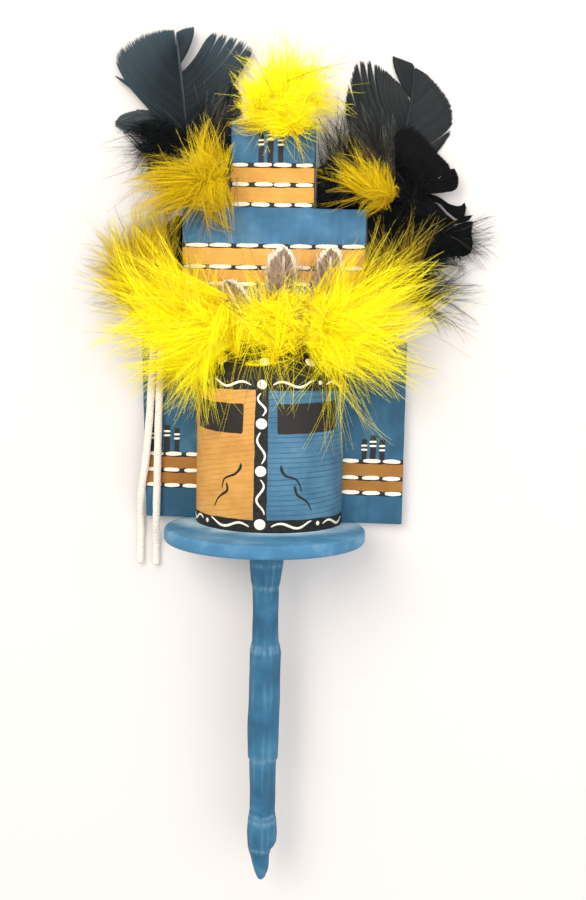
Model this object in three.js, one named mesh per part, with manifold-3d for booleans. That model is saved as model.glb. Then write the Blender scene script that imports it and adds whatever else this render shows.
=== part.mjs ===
// Kachina mask on a wand: a half-round case mask and a stepped tableta on a chin disc, with a whittled
// handle, dyed marabou plumes, black feathers, three small barred feathers and two hanging laces.
// Millimetres. The piece lies on its back: +Y runs to the tableta's top, +X to the mask's left hand side
// as the viewer sees it on the right, +Z out of the face. Origin: the tableta's flat back, on the mask's
// centre line, 30 mm above the tableta's foot.
import * as THREE from "three";
import { mergeVertices } from "three/addons/utils/BufferGeometryUtils.js";
import Module from "manifold-3d";

const wasm = await Module();
wasm.setup();

// ---- driving dimensions -------------------------------------------------------------------------
const GAP = 0.3; // clearance between soft pieces and their neighbours
const FAR = 400; // beyond the whole object
const FOOT = -30; // Y of the tableta's and mask's foot, which is the disc's top face

const TABLETA = {
  thickness: 6,
  bevel: 0.4,
  wings: { top: 46, left: -55.2, right: 55.9, footLeft: -52.8, footRight: 56.0 },
  middle: { top: 99.8, left: -38.3, right: 37.9 },
  crown: { top: 134.8, left: -18.5, right: 16.2 },
};
const MASK = { radius: 30.7, rim: 31.5, chamfer: 12, sides: 36 };
const DISC = { radius: 40.9, depth: 21.7, thickness: 5.5, corner: 4, edge: 0.9, sides: 44 };
const HANDLE = { x: 1.0, depth: 21.7, facets: 10 };
const LACE = { diameter: 3.2, sides: 8, steps: 44 };
const VANE = { thickness: 0.9, shaft: 1.6 };

// The whittled handle from the disc down to its chipped tip: [Y, half width, half depth].
const HANDLE_STATIONS = [
  [-35.5, 7.4, 7.2],
  [-45.4, 7.1, 6.9],
  [-52.5, 6.2, 6.0],
  [-55.0, 5.5, 5.5],
  [-66.0, 5.3, 5.3],
  [-77.6, 5.5, 5.4],
  [-79.6, 6.0, 5.9],
  [-82.0, 6.5, 6.3],
  [-97.0, 6.6, 6.3],
  [-112.0, 6.75, 6.4],
  [-127.4, 6.4, 6.1],
  [-128.4, 5.75, 5.6],
  [-140.0, 5.4, 5.4],
  [-151.2, 5.4, 5.4],
  [-155.0, 6.1, 5.8],
  [-161.0, 6.4, 6.0],
  [-167.0, 6.0, 5.6],
  [-171.0, 4.6, 4.6],
  [-177.2, 2.9, 3.2],
  [-180.4, 1.6, 1.9],
];
const HANDLE_TIP = -181.4;

// Each plume: the root it is tied at, its depth range, and how far it reaches at each bearing
// (degrees, counter-clockwise from +X).
const PLUMES = {
  crown_plume: {
    root: [4.3, 135.4],
    depth: [3.8, 28],
    reach: [[0, 25], [45, 28], [90, 30], [135, 27], [180, 23], [225, 15], [270, 9], [315, 14]],
  },
  left_upper_plume: {
    root: [-24.5, 107.4],
    depth: [9.5, 31],
    reach: [[0, 7], [60, 11], [90, 20], [110, 27], [140, 27], [165, 35], [190, 34], [216, 31], [250, 21],
      [283, 25], [320, 11]],
    keep: { minY: 88 },
  },
  right_upper_plume: {
    root: [43, 105.5],
    depth: [9.5, 26],
    reach: [[0, 4], [60, 10], [90, 14], [120, 22], [138, 29], [157, 27], [180, 22], [210, 12], [270, 5]],
  },
  left_side_plume: {
    root: [-17.9, 48.3],
    depth: [10, 47],
    reach: [[0, 6], [60, 9], [90, 18], [108, 42], [122, 58], [132, 66], [141, 69], [150, 65], [165, 61],
      [182, 58],
      [197, 55], [214, 52], [244, 43], [260, 40], [290, 16]],
    keep: { maxX: -13.5, maxY: 88 },
  },
  brow_plume: {
    root: [-2.3, 46.8],
    depth: [9.5, 41],
    reach: [[0, 14], [55, 28], [90, 24], [122, 28], [180, 17], [220, 24], [270, 12], [320, 18]],
    keep: { minX: -13.5, maxX: 9 },
  },
  right_side_plume: {
    root: [17.6, 49],
    depth: [9.5, 46],
    reach: [[0, 56], [15, 59], [31, 62], [44, 66], [54, 60], [66, 34], [90, 22], [130, 15], [180, 9],
      [230, 10],
      [284, 27], [298, 44], [314, 52], [330, 54], [346, 56]],
    keep: { minX: 9 },
  },
};
const PLUME = { locks: 18, valley: 0.8, ridge: 0.07 };
// A plume's section from root to lock tips: shares of its reach, and of its depth above and below.
const PLUME_SECTION = [
  { reach: 0, top: 0.78, under: 0 },
  { reach: 0.34, top: 0.93, under: 0 },
  { reach: 0.66, top: 0.86, under: 0.08 },
  { reach: 0.88, top: 0.62, under: 0.2 },
  { reach: 1, top: 0.4, under: 0.32 },
];

// Each vaned feather: its shaft from root to tip, the height it lies at, and its outline on each side as
// [place along the shaft 0..1, x, y] where the barb from there ends.
const FEATHERS = {
  black_feather_left_1: {
    shaft: [[-31, 114], [-34.5, 124], [-37.4, 134.4], [-38.7, 144.6], [-40, 154.8], [-41.2, 163.7],
      [-41.9, 170]],
    height: 3.6,
    left: [[0, -32.5, 114.5], [0.06, -36.5, 122], [0.12, -45.5, 137], [0.16, -49.4, 141.8],
      [0.21, -58.9, 149.5],
      [0.27, -65.4, 155.5], [0.34, -67, 159.9], [0.42, -65.2, 163.6], [0.5, -61.6, 166.4],
      [0.57, -57.6, 168.6],
      [0.65, -53.4, 170.2], [0.74, -48, 171.2], [0.85, -43.5, 171.3], [1, -42.3, 171.2]],
    right: [[0, -29.5, 114.5], [0.08, -29.3, 132], [0.14, -27.4, 138], [0.2, -24.2, 144.4],
      [0.26, -20.2, 149.8],
      [0.33, -16.3, 154.4], [0.39, -13.2, 158.5], [0.45, -10.8, 163.1], [0.53, -15.6, 167],
      [0.6, -21.6, 169],
      [0.71, -29, 168.4], [0.745, -39, 158.5], [0.78, -35.2, 171.2], [0.88, -38.5, 171.8],
      [1, -41.2, 171.2]],
  },
  black_feather_left_2: {
    shaft: [[-27, 110], [-25, 124], [-23, 137], [-20.5, 148]],
    height: 0.8,
    left: [[0, -32, 120], [0.3, -31, 133], [0.6, -28.5, 143], [0.85, -24.5, 149], [1, -21.4, 151]],
    right: [[0, -20.5, 116], [0.3, -19, 128], [0.6, -15.5, 139], [0.85, -16, 147], [1, -19.6, 151]],
  },
  black_feather_left_3: {
    shaft: [[-37, 124], [-41, 131], [-47, 135.8], [-54, 137.8], [-61, 137.3], [-66.5, 135]],
    height: 0.8,
    left: [[0, -39, 122], [0.25, -47, 126.5], [0.5, -59, 130.5], [0.7, -64.5, 131.5],
      [0.88, -67.4, 133],
      [1, -67.8, 134]],
    right: [[0, -36, 126], [0.15, -39, 132.3], [0.35, -47.1, 138], [0.52, -53.9, 139.7],
      [0.7, -60.6, 139.4],
      [0.88, -66, 137.5], [1, -68, 135]],
  },
  black_feather_right_1: {
    shaft: [[46, 98], [48.5, 111], [50.8, 123], [53.4, 137], [54.8, 146.3], [55.2, 152.3], [55, 157.8]],
    height: 0.8,
    left: [[0, 34, 118], [0.12, 29, 135], [0.2, 28, 143], [0.3, 29.8, 152], [0.38, 32.2, 158.6],
      [0.46, 38, 159.3],
      [0.55, 44.3, 155.5], [0.64, 49.4, 151], [0.74, 52.2, 148.2], [0.79, 46.8, 161.2], [0.86, 48.9, 160.8],
      [1, 54.2, 159]],
    right: [[0, 54, 114], [0.12, 61, 122], [0.2, 65, 124], [0.28, 68.4, 127.2], [0.4, 71.4, 134.4],
      [0.47, 71.1, 139.8], [0.56, 69.6, 144.3], [0.66, 66.3, 148.6], [0.77, 62.2, 152.9],
      [0.86, 59.2, 155.2],
      [1, 55.8, 158.6]],
  },
  black_feather_right_2: {
    shaft: [[42, 101], [51, 108], [61, 111.4], [70, 111.6]],
    height: 6.1,
    left: [[0, 43.5, 121], [0.08, 47, 127.5], [0.16, 51, 132], [0.27, 55.5, 132.6], [0.42, 60.6, 128.4],
      [0.58, 66, 122.4], [0.74, 70, 118.2], [0.84, 71.4, 115.6], [0.92, 73, 116], [1, 74.3, 112.4]],
    right: [[0, 43.5, 98.5], [0.25, 51, 101.6], [0.5, 59, 105.4], [0.7, 64.5, 106.2], [0.9, 70, 106.8],
      [1, 74.2, 109.6]],
  },
  black_feather_right_3: {
    shaft: [[44, 97], [56, 95], [68, 91], [78, 86.5]],
    height: 3.4,
    left: [[0, 45, 99], [0.12, 56, 102.5], [0.22, 62, 105], [0.34, 70.9, 102.4], [0.42, 75.6, 101.4],
      [0.47, 77.5, 102.8], [0.53, 78, 98.6], [0.6, 76.8, 95.9], [0.67, 79.2, 96], [0.72, 81, 98],
      [0.78, 81.2, 94.5], [0.86, 80.9, 90.5], [1, 81.3, 86.6]],
    right: [[0, 44.5, 86], [0.12, 49, 83], [0.3, 57, 81], [0.5, 66, 80], [0.7, 73.7, 81.2],
      [0.86, 79.6, 82.2],
      [1, 81.2, 85.4]],
  },
  barred_feather_1: {
    shaft: [[3.2, 48], [3.3, 58], [3.8, 70], [4.3, 80.5]],
    height: 6.4,
    left: [[0, 1.4, 49], [0.35, -2.6, 64], [0.62, -3, 74.5], [0.76, -2.2, 80], [0.88, 0.6, 83.3],
      [1, 3.9, 84.3]],
    right: [[0, 5, 49], [0.35, 9, 64], [0.62, 9.4, 74.5], [0.76, 8.9, 79.6], [0.88, 7.2, 82.7],
      [1, 4.7, 84.3]],
  },
  barred_feather_2: {
    shaft: [[21.4, 48], [22, 58], [22.8, 70], [23.6, 80.5]],
    height: 6.4,
    left: [[0, 19.6, 49], [0.35, 17.8, 64], [0.62, 17.9, 74.5], [0.76, 18.6, 80.2], [0.88, 20.6, 83.4],
      [1, 23.4, 84.7]],
    right: [[0, 23.2, 49], [0.35, 28.4, 64], [0.62, 29, 74.5], [0.76, 28.6, 80], [0.88, 27, 83.3],
      [1, 24.2, 84.7]],
  },
  barred_feather_3: {
    shaft: [[-8, 47], [-12, 55], [-16, 62], [-19.5, 69]],
    height: 6.4,
    left: [[0, -9.5, 47.5], [0.4, -17.5, 59], [0.8, -21.5, 68], [1, -20.2, 70.4]],
    right: [[0, -6.5, 48], [0.4, -8, 61], [0.8, -15, 70], [1, -19, 70.6]],
  },
};
const BARB_STATIONS = 28;

// Centre lines of the two laces, from under the left plume, down the wing and onto the table.
const LACES = {
  lace_left: [
    [-49.4, 42.7, 7.95], [-50.3, 28, 7.95], [-51.1, 13, 7.95], [-52.2, -1, 7.9], [-53, -8.5, 7.9],
    [-54, -15, 7.5], [-54.9, -21, 6.2], [-55.6, -27, 4.2], [-55.9, -33, 2.3], [-56, -38.5, 1.65],
    [-56.3, -51.1, 1.65],
  ],
  lace_right: [
    [-46.2, 42.8, 7.95], [-46.8, 28, 7.95], [-47.3, 12, 7.95], [-47.5, -2.5, 7.95], [-47.7, -15.5, 7.95],
    [-47.9, -28.3, 7.95], [-48.2, -34, 6.5], [-48.8, -38.6, 3.7], [-49.2, -42.8, 1.9], [-49.3, -51.6, 1.65],
  ],
};

// ---- materials ----------------------------------------------------------------------------------
const paintedWood = (color) => new THREE.MeshStandardMaterial({ color, roughness: 0.75, metalness: 0 });
const plumage = (color) => new THREE.MeshStandardMaterial({ color, roughness: 0.9, metalness: 0 });
const MATERIALS = {
  boardBlue: paintedWood("#5988a4"),
  maskBlue: paintedWood("#4c7a97"),
  discBlue: paintedWood("#5a95ba"),
  handleBlue: paintedWood("#467d9c"),
  yellowDown: plumage("#fbe224"),
  goldDown: plumage("#d8b10d"),
  blackVane: plumage("#22282b"),
  barredVane: plumage("#a98c6c"),
  laceCream: plumage("#f3ece2"),
};

// ---- solids -------------------------------------------------------------------------------------

/** Six times the signed volume of an indexed triangle list, positive when the faces point out. */
function signedVolume(points, faces) {
  return faces.reduce(
    (sum, [a, b, c]) => sum + points[a].dot(new THREE.Vector3().crossVectors(points[b], points[c])),
    0,
  );
}

/** A closed geometry from points and triangles, with the faces turned to point out. */
function closedGeometry(points, faces) {
  const outward = signedVolume(points, faces) > 0;
  const index = faces.flatMap(([a, b, c]) => (outward ? [a, b, c] : [a, c, b]));
  const geometry = new THREE.BufferGeometry().setFromPoints(points);
  geometry.setIndex(index);
  return geometry;
}

/** Joins rings of equally many points into a closed body, with a fan over each end. */
function loft(rings) {
  const count = rings[0].length;
  const points = rings.flat();
  const faces = [];
  for (let r = 0; r + 1 < rings.length; r++) {
    for (let i = 0; i < count; i++) {
      const a = r * count + i;
      const b = r * count + ((i + 1) % count);
      faces.push([a, b, b + count], [a, b + count, a + count]);
    }
  }
  const close = (start, flip) => {
    const centre = new THREE.Vector3();
    for (let i = 0; i < count; i++) centre.addScaledVector(points[start + i], 1 / count);
    points.push(centre);
    for (let i = 0; i < count; i++) {
      const pair = [start + i, start + ((i + 1) % count)];
      faces.push(flip ? [pair[1], pair[0], points.length - 1] : [...pair, points.length - 1]);
    }
  };
  close(0, true);
  close((rings.length - 1) * count, false);
  return closedGeometry(points, faces);
}

/** A geometry as a solid that can be cut and joined. */
function solidOf(geometry) {
  const bare = geometry.clone();
  bare.deleteAttribute("normal");
  bare.deleteAttribute("uv");
  const merged = mergeVertices(bare, 1e-4);
  return new wasm.Manifold(
    new wasm.Mesh({
      numProp: 3,
      vertProperties: new Float32Array(merged.attributes.position.array),
      triVerts: new Uint32Array(merged.index.array),
    }),
  );
}

/** The largest body of a solid as a geometry again. */
function geometryOf(solid) {
  const body = solid.decompose().sort((a, b) => b.volume() - a.volume())[0];
  const mesh = body.getMesh();
  const geometry = new THREE.BufferGeometry();
  geometry.setAttribute("position", new THREE.BufferAttribute(new Float32Array(mesh.vertProperties), 3));
  geometry.setIndex(new THREE.BufferAttribute(new Uint32Array(mesh.triVerts), 1));
  return geometry;
}

/** Values between knots [[at, ...values], ...], joined by smooth steps. */
function between(knots, at, column) {
  let i = 0;
  while (i + 2 < knots.length && at > knots[i + 1][0]) i++;
  const [low, high] = [knots[i], knots[i + 1]];
  const t = THREE.MathUtils.smoothstep(at, low[0], high[0]);
  return THREE.MathUtils.lerp(low[column], high[column], t);
}

// ---- wood ---------------------------------------------------------------------------------------

/** The stepped board's outline, grown by a clearance. */
function tabletaShape(grow) {
  const { wings, middle, crown } = TABLETA;
  return new THREE.Shape([
    new THREE.Vector2(wings.footLeft - grow, FOOT - grow),
    new THREE.Vector2(wings.footRight + grow, FOOT - grow),
    new THREE.Vector2(wings.right + grow, wings.top + grow),
    new THREE.Vector2(middle.right + grow, wings.top + grow),
    new THREE.Vector2(middle.right + grow, middle.top + grow),
    new THREE.Vector2(crown.right + grow, middle.top + grow),
    new THREE.Vector2(crown.right + grow, crown.top + grow),
    new THREE.Vector2(crown.left - grow, crown.top + grow),
    new THREE.Vector2(crown.left - grow, middle.top + grow),
    new THREE.Vector2(middle.left - grow, middle.top + grow),
    new THREE.Vector2(middle.left - grow, wings.top + grow),
    new THREE.Vector2(wings.left - grow, wings.top + grow),
  ]);
}

function tableta() {
  const { thickness, bevel } = TABLETA;
  const geometry = new THREE.ExtrudeGeometry(tabletaShape(0), {
    depth: thickness - 2 * bevel,
    bevelThickness: bevel,
    bevelSize: bevel,
    bevelOffset: -bevel,
    bevelSegments: 1,
  });
  return geometry.translate(0, 0, bevel);
}

/** The room that the board takes, with a clearance all round. */
function tabletaKeepOut() {
  const depth = TABLETA.thickness + 2 * GAP;
  return new THREE.ExtrudeGeometry(tabletaShape(GAP), { depth, bevelEnabled: false }).translate(0, 0, -GAP);
}

/** The half-round case with its sloping brow, grown by a clearance. */
function caseMask(grow = 0) {
  const { radius, rim, chamfer, sides } = MASK;
  const back = TABLETA.thickness - grow;
  const ring = (y, r) => {
    const points = [];
    for (let i = 0; i <= sides; i++) {
      const angle = (Math.PI * i) / sides;
      points.push(new THREE.Vector3(r * Math.cos(angle), y, TABLETA.thickness + r * Math.sin(angle)));
    }
    points[0].z = back;
    points[sides].z = back;
    return points;
  };
  return loft([
    ring(FOOT - grow, radius + grow),
    ring(rim + grow, radius + grow),
    ring(rim + chamfer + grow, radius - chamfer + grow),
  ]);
}

/** The chin disc's outline across its thickness: a circle cut flat where it lies on the table. */
function discRing(y, inset) {
  const { radius, depth, corner, sides } = DISC;
  const r = radius - inset;
  const round = corner - inset;
  const cornerZ = corner;
  const cornerX = Math.sqrt((r - round) ** 2 - (depth - cornerZ) ** 2);
  const start = Math.atan2(cornerZ - depth, cornerX);
  const points = [];
  for (let i = 0; i <= sides; i++) {
    const angle = start + ((Math.PI - 2 * start) * i) / sides;
    points.push(new THREE.Vector3(r * Math.cos(angle), y, depth + r * Math.sin(angle)));
  }
  const turn = 3;
  for (let i = 1; i <= turn; i++) {
    const angle = Math.PI - start + ((Math.PI / 2 + start) * i) / turn;
    points.push(new THREE.Vector3(-cornerX + round * Math.cos(angle), y, cornerZ + round * Math.sin(angle)));
  }
  for (let i = 0; i < turn; i++) {
    const angle = -Math.PI / 2 + ((Math.PI / 2 + start) * i) / turn;
    points.push(new THREE.Vector3(cornerX + round * Math.cos(angle), y, cornerZ + round * Math.sin(angle)));
  }
  return points;
}

function chinDisc() {
  const { thickness, edge } = DISC;
  const low = FOOT - thickness;
  return loft([
    discRing(low, edge),
    discRing(low + edge, 0),
    discRing(FOOT - edge, 0),
    discRing(FOOT, edge),
  ]);
}

/** The handle, whittled to uneven flats that run down its length. */
function wandHandle() {
  const { x, depth, facets } = HANDLE;
  const rings = HANDLE_STATIONS.map(([y, halfWidth, halfDepth], k) => {
    const points = [];
    for (let j = 0; j < facets; j++) {
      const angle = (2 * Math.PI * (j + 0.5)) / facets + 0.12 * Math.sin(2.3 * j);
      const uneven = 1 + 0.025 * Math.sin(1.7 * j + 0.6 * k);
      const across = halfWidth * uneven * Math.cos(angle);
      points.push(new THREE.Vector3(x + across, y, depth + halfDepth * uneven * Math.sin(angle)));
    }
    return points;
  });
  const tip = rings[rings.length - 1].map(
    (p) => new THREE.Vector3(x + (p.x - x) * 0.3, HANDLE_TIP, depth + (p.z - depth) * 0.3),
  );
  return loft([...rings, tip]);
}

// ---- feathers and laces -------------------------------------------------------------------------

/** How far a plume reaches at a bearing in degrees. */
function reachAt(reach, bearing) {
  const first = reach[0];
  return between([...reach, [first[0] + 360, first[1]]], bearing, 1);
}

/** A plume: a soft mound that thins to its locks, which point away from the root. */
function plume({ root, depth, reach }) {
  const { locks, valley, ridge } = PLUME;
  const count = 2 * locks;
  const [low, high] = depth;
  const height = (share) => low + (high - low) * share;
  const layer = (side) => {
    const points = [new THREE.Vector3(root[0], root[1], height(PLUME_SECTION[0][side]))];
    for (const section of PLUME_SECTION.slice(1)) {
      for (let i = 0; i < count; i++) {
        const peak = i % 2 === 0;
        const bearing = (360 * i) / count;
        const angle = THREE.MathUtils.degToRad(bearing);
        const length = reachAt(reach, bearing) * section.reach * (peak || section.reach < 0.5 ? 1 : valley);
        const lock = side === "top" ? (peak ? ridge : -ridge) : 0;
        const x = root[0] + length * Math.cos(angle);
        const y = root[1] + length * Math.sin(angle);
        points.push(new THREE.Vector3(x, y, height(section[side] + lock)));
      }
    }
    return points;
  };
  const top = layer("top");
  const points = [...top, ...layer("under")];
  const under = top.length;
  const rings = PLUME_SECTION.length - 1;
  const faces = [];
  for (const [start, flip] of [[0, false], [under, true]]) {
    const face = (a, b, c) => faces.push(flip ? [a, c, b] : [a, b, c]);
    for (let i = 0; i < count; i++) {
      const j = (i + 1) % count;
      face(start, start + 1 + i, start + 1 + j);
      for (let r = 0; r + 1 < rings; r++) {
        const inner = start + 1 + r * count;
        face(inner + i, inner + count + i, inner + count + j);
        face(inner + i, inner + count + j, inner + j);
      }
    }
  }
  const rim = 1 + (rings - 1) * count;
  for (let i = 0; i < count; i++) {
    const j = (i + 1) % count;
    faces.push([rim + i, under + rim + i, under + rim + j], [rim + i, under + rim + j, rim + j]);
  }
  return closedGeometry(points, faces);
}

/** A plume trimmed clear of the wood and of the plumes beside it. */
function fittedPlume(spec) {
  const { minX = -FAR, maxX = FAR, minY = -FAR, maxY = FAR } = spec.keep ?? {};
  const slab = new THREE.BoxGeometry(maxX - minX - GAP, maxY - minY - GAP, FAR);
  slab.translate((minX + maxX) / 2, (minY + maxY) / 2, 0);
  return geometryOf(
    solidOf(plume(spec))
      .intersect(solidOf(slab))
      .subtract(solidOf(tabletaKeepOut()))
      .subtract(solidOf(caseMask(GAP))),
  );
}

/** Where the barb from a place along the shaft ends, at a height. */
function outlineAt(rows, at, height) {
  const end = rows.findIndex((row, k) => k > 0 && (at <= row[0] || k + 1 === rows.length));
  const [low, high] = [rows[end - 1], rows[end]];
  const t = THREE.MathUtils.clamp((at - low[0]) / (high[0] - low[0]), 0, 1);
  return new THREE.Vector3(
    THREE.MathUtils.lerp(low[1], high[1], t),
    THREE.MathUtils.lerp(low[2], high[2], t),
    height,
  );
}

/** A vaned feather: thin barbs that run out to its outline on both sides of a shaft, which stands proud. */
function vanedFeather({ shaft, height, left, right }) {
  const curve = new THREE.CatmullRomCurve3(shaft.map(([x, y]) => new THREE.Vector3(x, y, height)));
  const rings = [];
  for (let i = 0; i <= BARB_STATIONS; i++) {
    const at = i / BARB_STATIONS;
    const stem = curve.getPointAt(at);
    const leftEdge = outlineAt(left, at, height);
    const rightEdge = outlineAt(right, at, height);
    const lift = (point, rise) => point.clone().setZ(height + rise);
    const proud = VANE.thickness + VANE.shaft * (1 - at);
    rings.push([
      leftEdge,
      lift(leftEdge, VANE.thickness),
      lift(stem, proud),
      lift(rightEdge, VANE.thickness),
      rightEdge,
      lift(stem, 0),
    ]);
  }
  return loft(rings);
}

/** A vaned feather trimmed clear of the board. */
function fittedFeather(spec) {
  return geometryOf(solidOf(vanedFeather(spec)).subtract(solidOf(tabletaKeepOut())));
}

/** A round lace along its centre line. */
function lace(route) {
  const { diameter, sides, steps } = LACE;
  const section = new THREE.Shape();
  for (let i = 0; i < sides; i++) {
    const angle = (2 * Math.PI * i) / sides;
    const point = [(diameter / 2) * Math.cos(angle), (diameter / 2) * Math.sin(angle)];
    if (i === 0) section.moveTo(...point);
    else section.lineTo(...point);
  }
  const extrudePath = new THREE.CatmullRomCurve3(route.map((point) => new THREE.Vector3(...point)));
  return new THREE.ExtrudeGeometry(section, { steps, extrudePath });
}

// ---- assembly -----------------------------------------------------------------------------------
const group = new THREE.Group();
group.name = "kachina_mask_wand";

function add(name, geometry, material) {
  const mesh = new THREE.Mesh(geometry, material);
  mesh.name = name;
  group.add(mesh);
}

add("tableta", tableta(), MATERIALS.boardBlue);
add("case_mask", caseMask(), MATERIALS.maskBlue);
add("chin_disc", chinDisc(), MATERIALS.discBlue);
add("wand_handle", wandHandle(), MATERIALS.handleBlue);

for (const [name, spec] of Object.entries(PLUMES)) {
  const shade = name.includes("upper") ? MATERIALS.goldDown : MATERIALS.yellowDown;
  add(name, fittedPlume(spec), shade);
}
for (const [name, spec] of Object.entries(FEATHERS)) {
  const shade = name.startsWith("black") ? MATERIALS.blackVane : MATERIALS.barredVane;
  add(name, fittedFeather(spec), shade);
}
for (const [name, route] of Object.entries(LACES)) {
  add(name, lace(route), MATERIALS.laceCream);
}

export default group;
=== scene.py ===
"""Kachina mask on a wand: its painted wood, brushwork, plumes, feathers and laces, dressed over the frame.

Lengths in this file are millimetres in the frame's axes (+Y to the tableta's top, +Z out of the face),
and turn to metres only where a mesh or a camera is made.
"""

import logging
import math
from collections.abc import Callable, Sequence
from dataclasses import dataclass, field
from enum import Enum
from typing import ClassVar

import bmesh
import bpy
import numpy as np
from mathutils import Matrix, Vector


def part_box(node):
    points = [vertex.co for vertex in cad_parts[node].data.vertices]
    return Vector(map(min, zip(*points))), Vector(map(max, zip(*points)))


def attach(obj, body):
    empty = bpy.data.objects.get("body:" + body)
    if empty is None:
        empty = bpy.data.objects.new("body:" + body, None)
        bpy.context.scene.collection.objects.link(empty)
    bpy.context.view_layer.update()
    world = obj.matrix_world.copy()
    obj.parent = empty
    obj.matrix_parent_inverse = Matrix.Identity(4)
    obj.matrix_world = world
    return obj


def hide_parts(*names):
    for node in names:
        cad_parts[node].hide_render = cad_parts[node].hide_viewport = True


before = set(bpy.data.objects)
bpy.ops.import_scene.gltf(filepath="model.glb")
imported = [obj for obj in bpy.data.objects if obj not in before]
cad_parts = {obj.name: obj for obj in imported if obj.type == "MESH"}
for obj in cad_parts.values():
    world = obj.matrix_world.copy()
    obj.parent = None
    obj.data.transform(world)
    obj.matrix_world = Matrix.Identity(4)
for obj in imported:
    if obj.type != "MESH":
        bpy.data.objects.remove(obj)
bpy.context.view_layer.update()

MM = 0.001
BODY = "root"
log = logging.getLogger("kachina")

Array = np.ndarray
Point = tuple[float, float]
Kind = tuple[str, dict[str, object]]

# the kinds of node that the finishes and the strands use: a type name with its properties
ADD: Kind = ("ShaderNodeMath", {"operation": "ADD"})
SUBTRACT: Kind = ("ShaderNodeMath", {"operation": "SUBTRACT"})
MULTIPLY: Kind = ("ShaderNodeMath", {"operation": "MULTIPLY"})
DIVIDE: Kind = ("ShaderNodeMath", {"operation": "DIVIDE"})
MULTIPLY_ADD: Kind = ("ShaderNodeMath", {"operation": "MULTIPLY_ADD"})
POWER: Kind = ("ShaderNodeMath", {"operation": "POWER"})
FRACT: Kind = ("ShaderNodeMath", {"operation": "FRACT"})
ARCTAN2: Kind = ("ShaderNodeMath", {"operation": "ARCTAN2"})
MAXIMUM: Kind = ("ShaderNodeMath", {"operation": "MAXIMUM"})
LENGTH: Kind = ("ShaderNodeVectorMath", {"operation": "LENGTH"})
REMAP: Kind = ("ShaderNodeMapRange", {})
RAMP: Kind = ("ShaderNodeMapRange", {"interpolation_type": "SMOOTHSTEP"})  # value, low, high
MIX: Kind = ("ShaderNodeMix", {"data_type": "RGBA"})  # share, first colour, second colour
MIX_MULTIPLY: Kind = ("ShaderNodeMix", {"data_type": "RGBA", "blend_type": "MULTIPLY"})
NOISE: Kind = ("ShaderNodeTexNoise", {})  # vector, scale, octaves, roughness
SAW_MARKS: Kind = ("ShaderNodeTexWave", {"wave_type": "BANDS", "bands_direction": "X"})
BUMP: Kind = ("ShaderNodeBump", {})
MAPPING: Kind = ("ShaderNodeMapping", {})
COORDINATES: Kind = ("ShaderNodeTexCoord", {})
SEPARATE: Kind = ("ShaderNodeSeparateXYZ", {})
PALER_SHARE: Kind = ("ShaderNodeAttribute", {"attribute_name": "paler_share"})
TINT: Kind = ("ShaderNodeAttribute", {"attribute_name": "tint"})
ALONG: Kind = ("ShaderNodeAttribute", {"attribute_name": "along"})
GIVEN: Kind = ("NodeGroupInput", {})
RESULT: Kind = ("NodeGroupOutput", {})
NAMED: Kind = ("GeometryNodeInputNamedAttribute", {"data_type": "FLOAT"})
CURVES: Kind = ("GeometryNodeMeshToCurve", {})
UPRIGHT: Kind = ("GeometryNodeSetCurveNormal", {"mode": "Z_UP"})
ARCH: Kind = ("GeometryNodeCurvePrimitiveBezierSegment", {})
LINE: Kind = ("GeometryNodeCurvePrimitiveLine", {})
SWEEP: Kind = ("GeometryNodeCurveToMesh", {})  # curve, profile, scale
JOIN: Kind = ("GeometryNodeJoinGeometry", {})
REALIZE: Kind = ("GeometryNodeRealizeInstances", {})
MATERIAL: Kind = ("GeometryNodeSetMaterial", {})
BLADE: Kind = ("GeometryNodeMeshCircle", {"fill_type": "NGON"})
COMBINE: Kind = ("ShaderNodeCombineXYZ", {})
TRANSFORM: Kind = ("GeometryNodeTransform", {})
TURN: Kind = ("FunctionNodeAxisAngleToRotation", {})
STATIONS: Kind = ("GeometryNodeCurveToPoints", {"mode": "LENGTH"})
RANDOM: Kind = ("FunctionNodeRandomValue", {"data_type": "FLOAT"})
ROTATE: Kind = ("FunctionNodeRotateRotation", {"rotation_space": "LOCAL"})
SET_ON: Kind = ("GeometryNodeInstanceOnPoints", {})


# ---------------------------------------------------------------------------------------------------
# small shared helpers
# ---------------------------------------------------------------------------------------------------


def linear(code: str) -> tuple[float, float, float, float]:
    """Turn an sRGB hex colour into linear RGBA.

    Args:
        code: the colour as "#rrggbb".

    Returns:
        The four channels Blender's sockets hold.
    """
    channels = [int(code[i : i + 2], 16) / 255 for i in (1, 3, 5)]
    rgb = [c / 12.92 if c <= 0.04045 else ((c + 0.055) / 1.055) ** 2.4 for c in channels]
    return rgb[0], rgb[1], rgb[2], 1.0


def feed(node: bpy.types.Node, *values: object, **named: object) -> bpy.types.Node:
    """Fill a node's inputs: a socket is linked, a node gives its first output in use, the rest are values.

    Args:
        node: the node whose inputs are filled.
        values: what goes into its inputs in use, in their order.
        named: what goes into inputs by name, with "_" for a space.

    Returns:
        The same node.
    """
    in_use = [socket for socket in node.inputs if socket.enabled]
    sockets = [in_use[i] for i in range(len(values))] + [node.inputs[key.replace("_", " ")] for key in named]
    for socket, value in zip(sockets, (*values, *named.values()), strict=True):
        if isinstance(value, bpy.types.Node):
            value = next(output for output in value.outputs if output.enabled)
        if isinstance(value, bpy.types.NodeSocket):
            node.id_data.links.new(value, socket)
        else:
            socket.default_value = value
    return node


def add_node(tree: bpy.types.NodeTree, kind: Kind, *values: object, **named: object) -> bpy.types.Node:
    """Add a node with its settings, its input values and its links.

    Args:
        tree: the node tree that the node joins.
        kind: the node's type name and its properties.
        values: what goes into its inputs in use, in their order.
        named: what goes into inputs by name, with "_" for a space.

    Returns:
        The node.
    """
    type_name, properties = kind
    node = tree.nodes.new(type_name)
    for key, value in properties.items():
        setattr(node, key, value)
    return feed(node, *values, **named)


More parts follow.
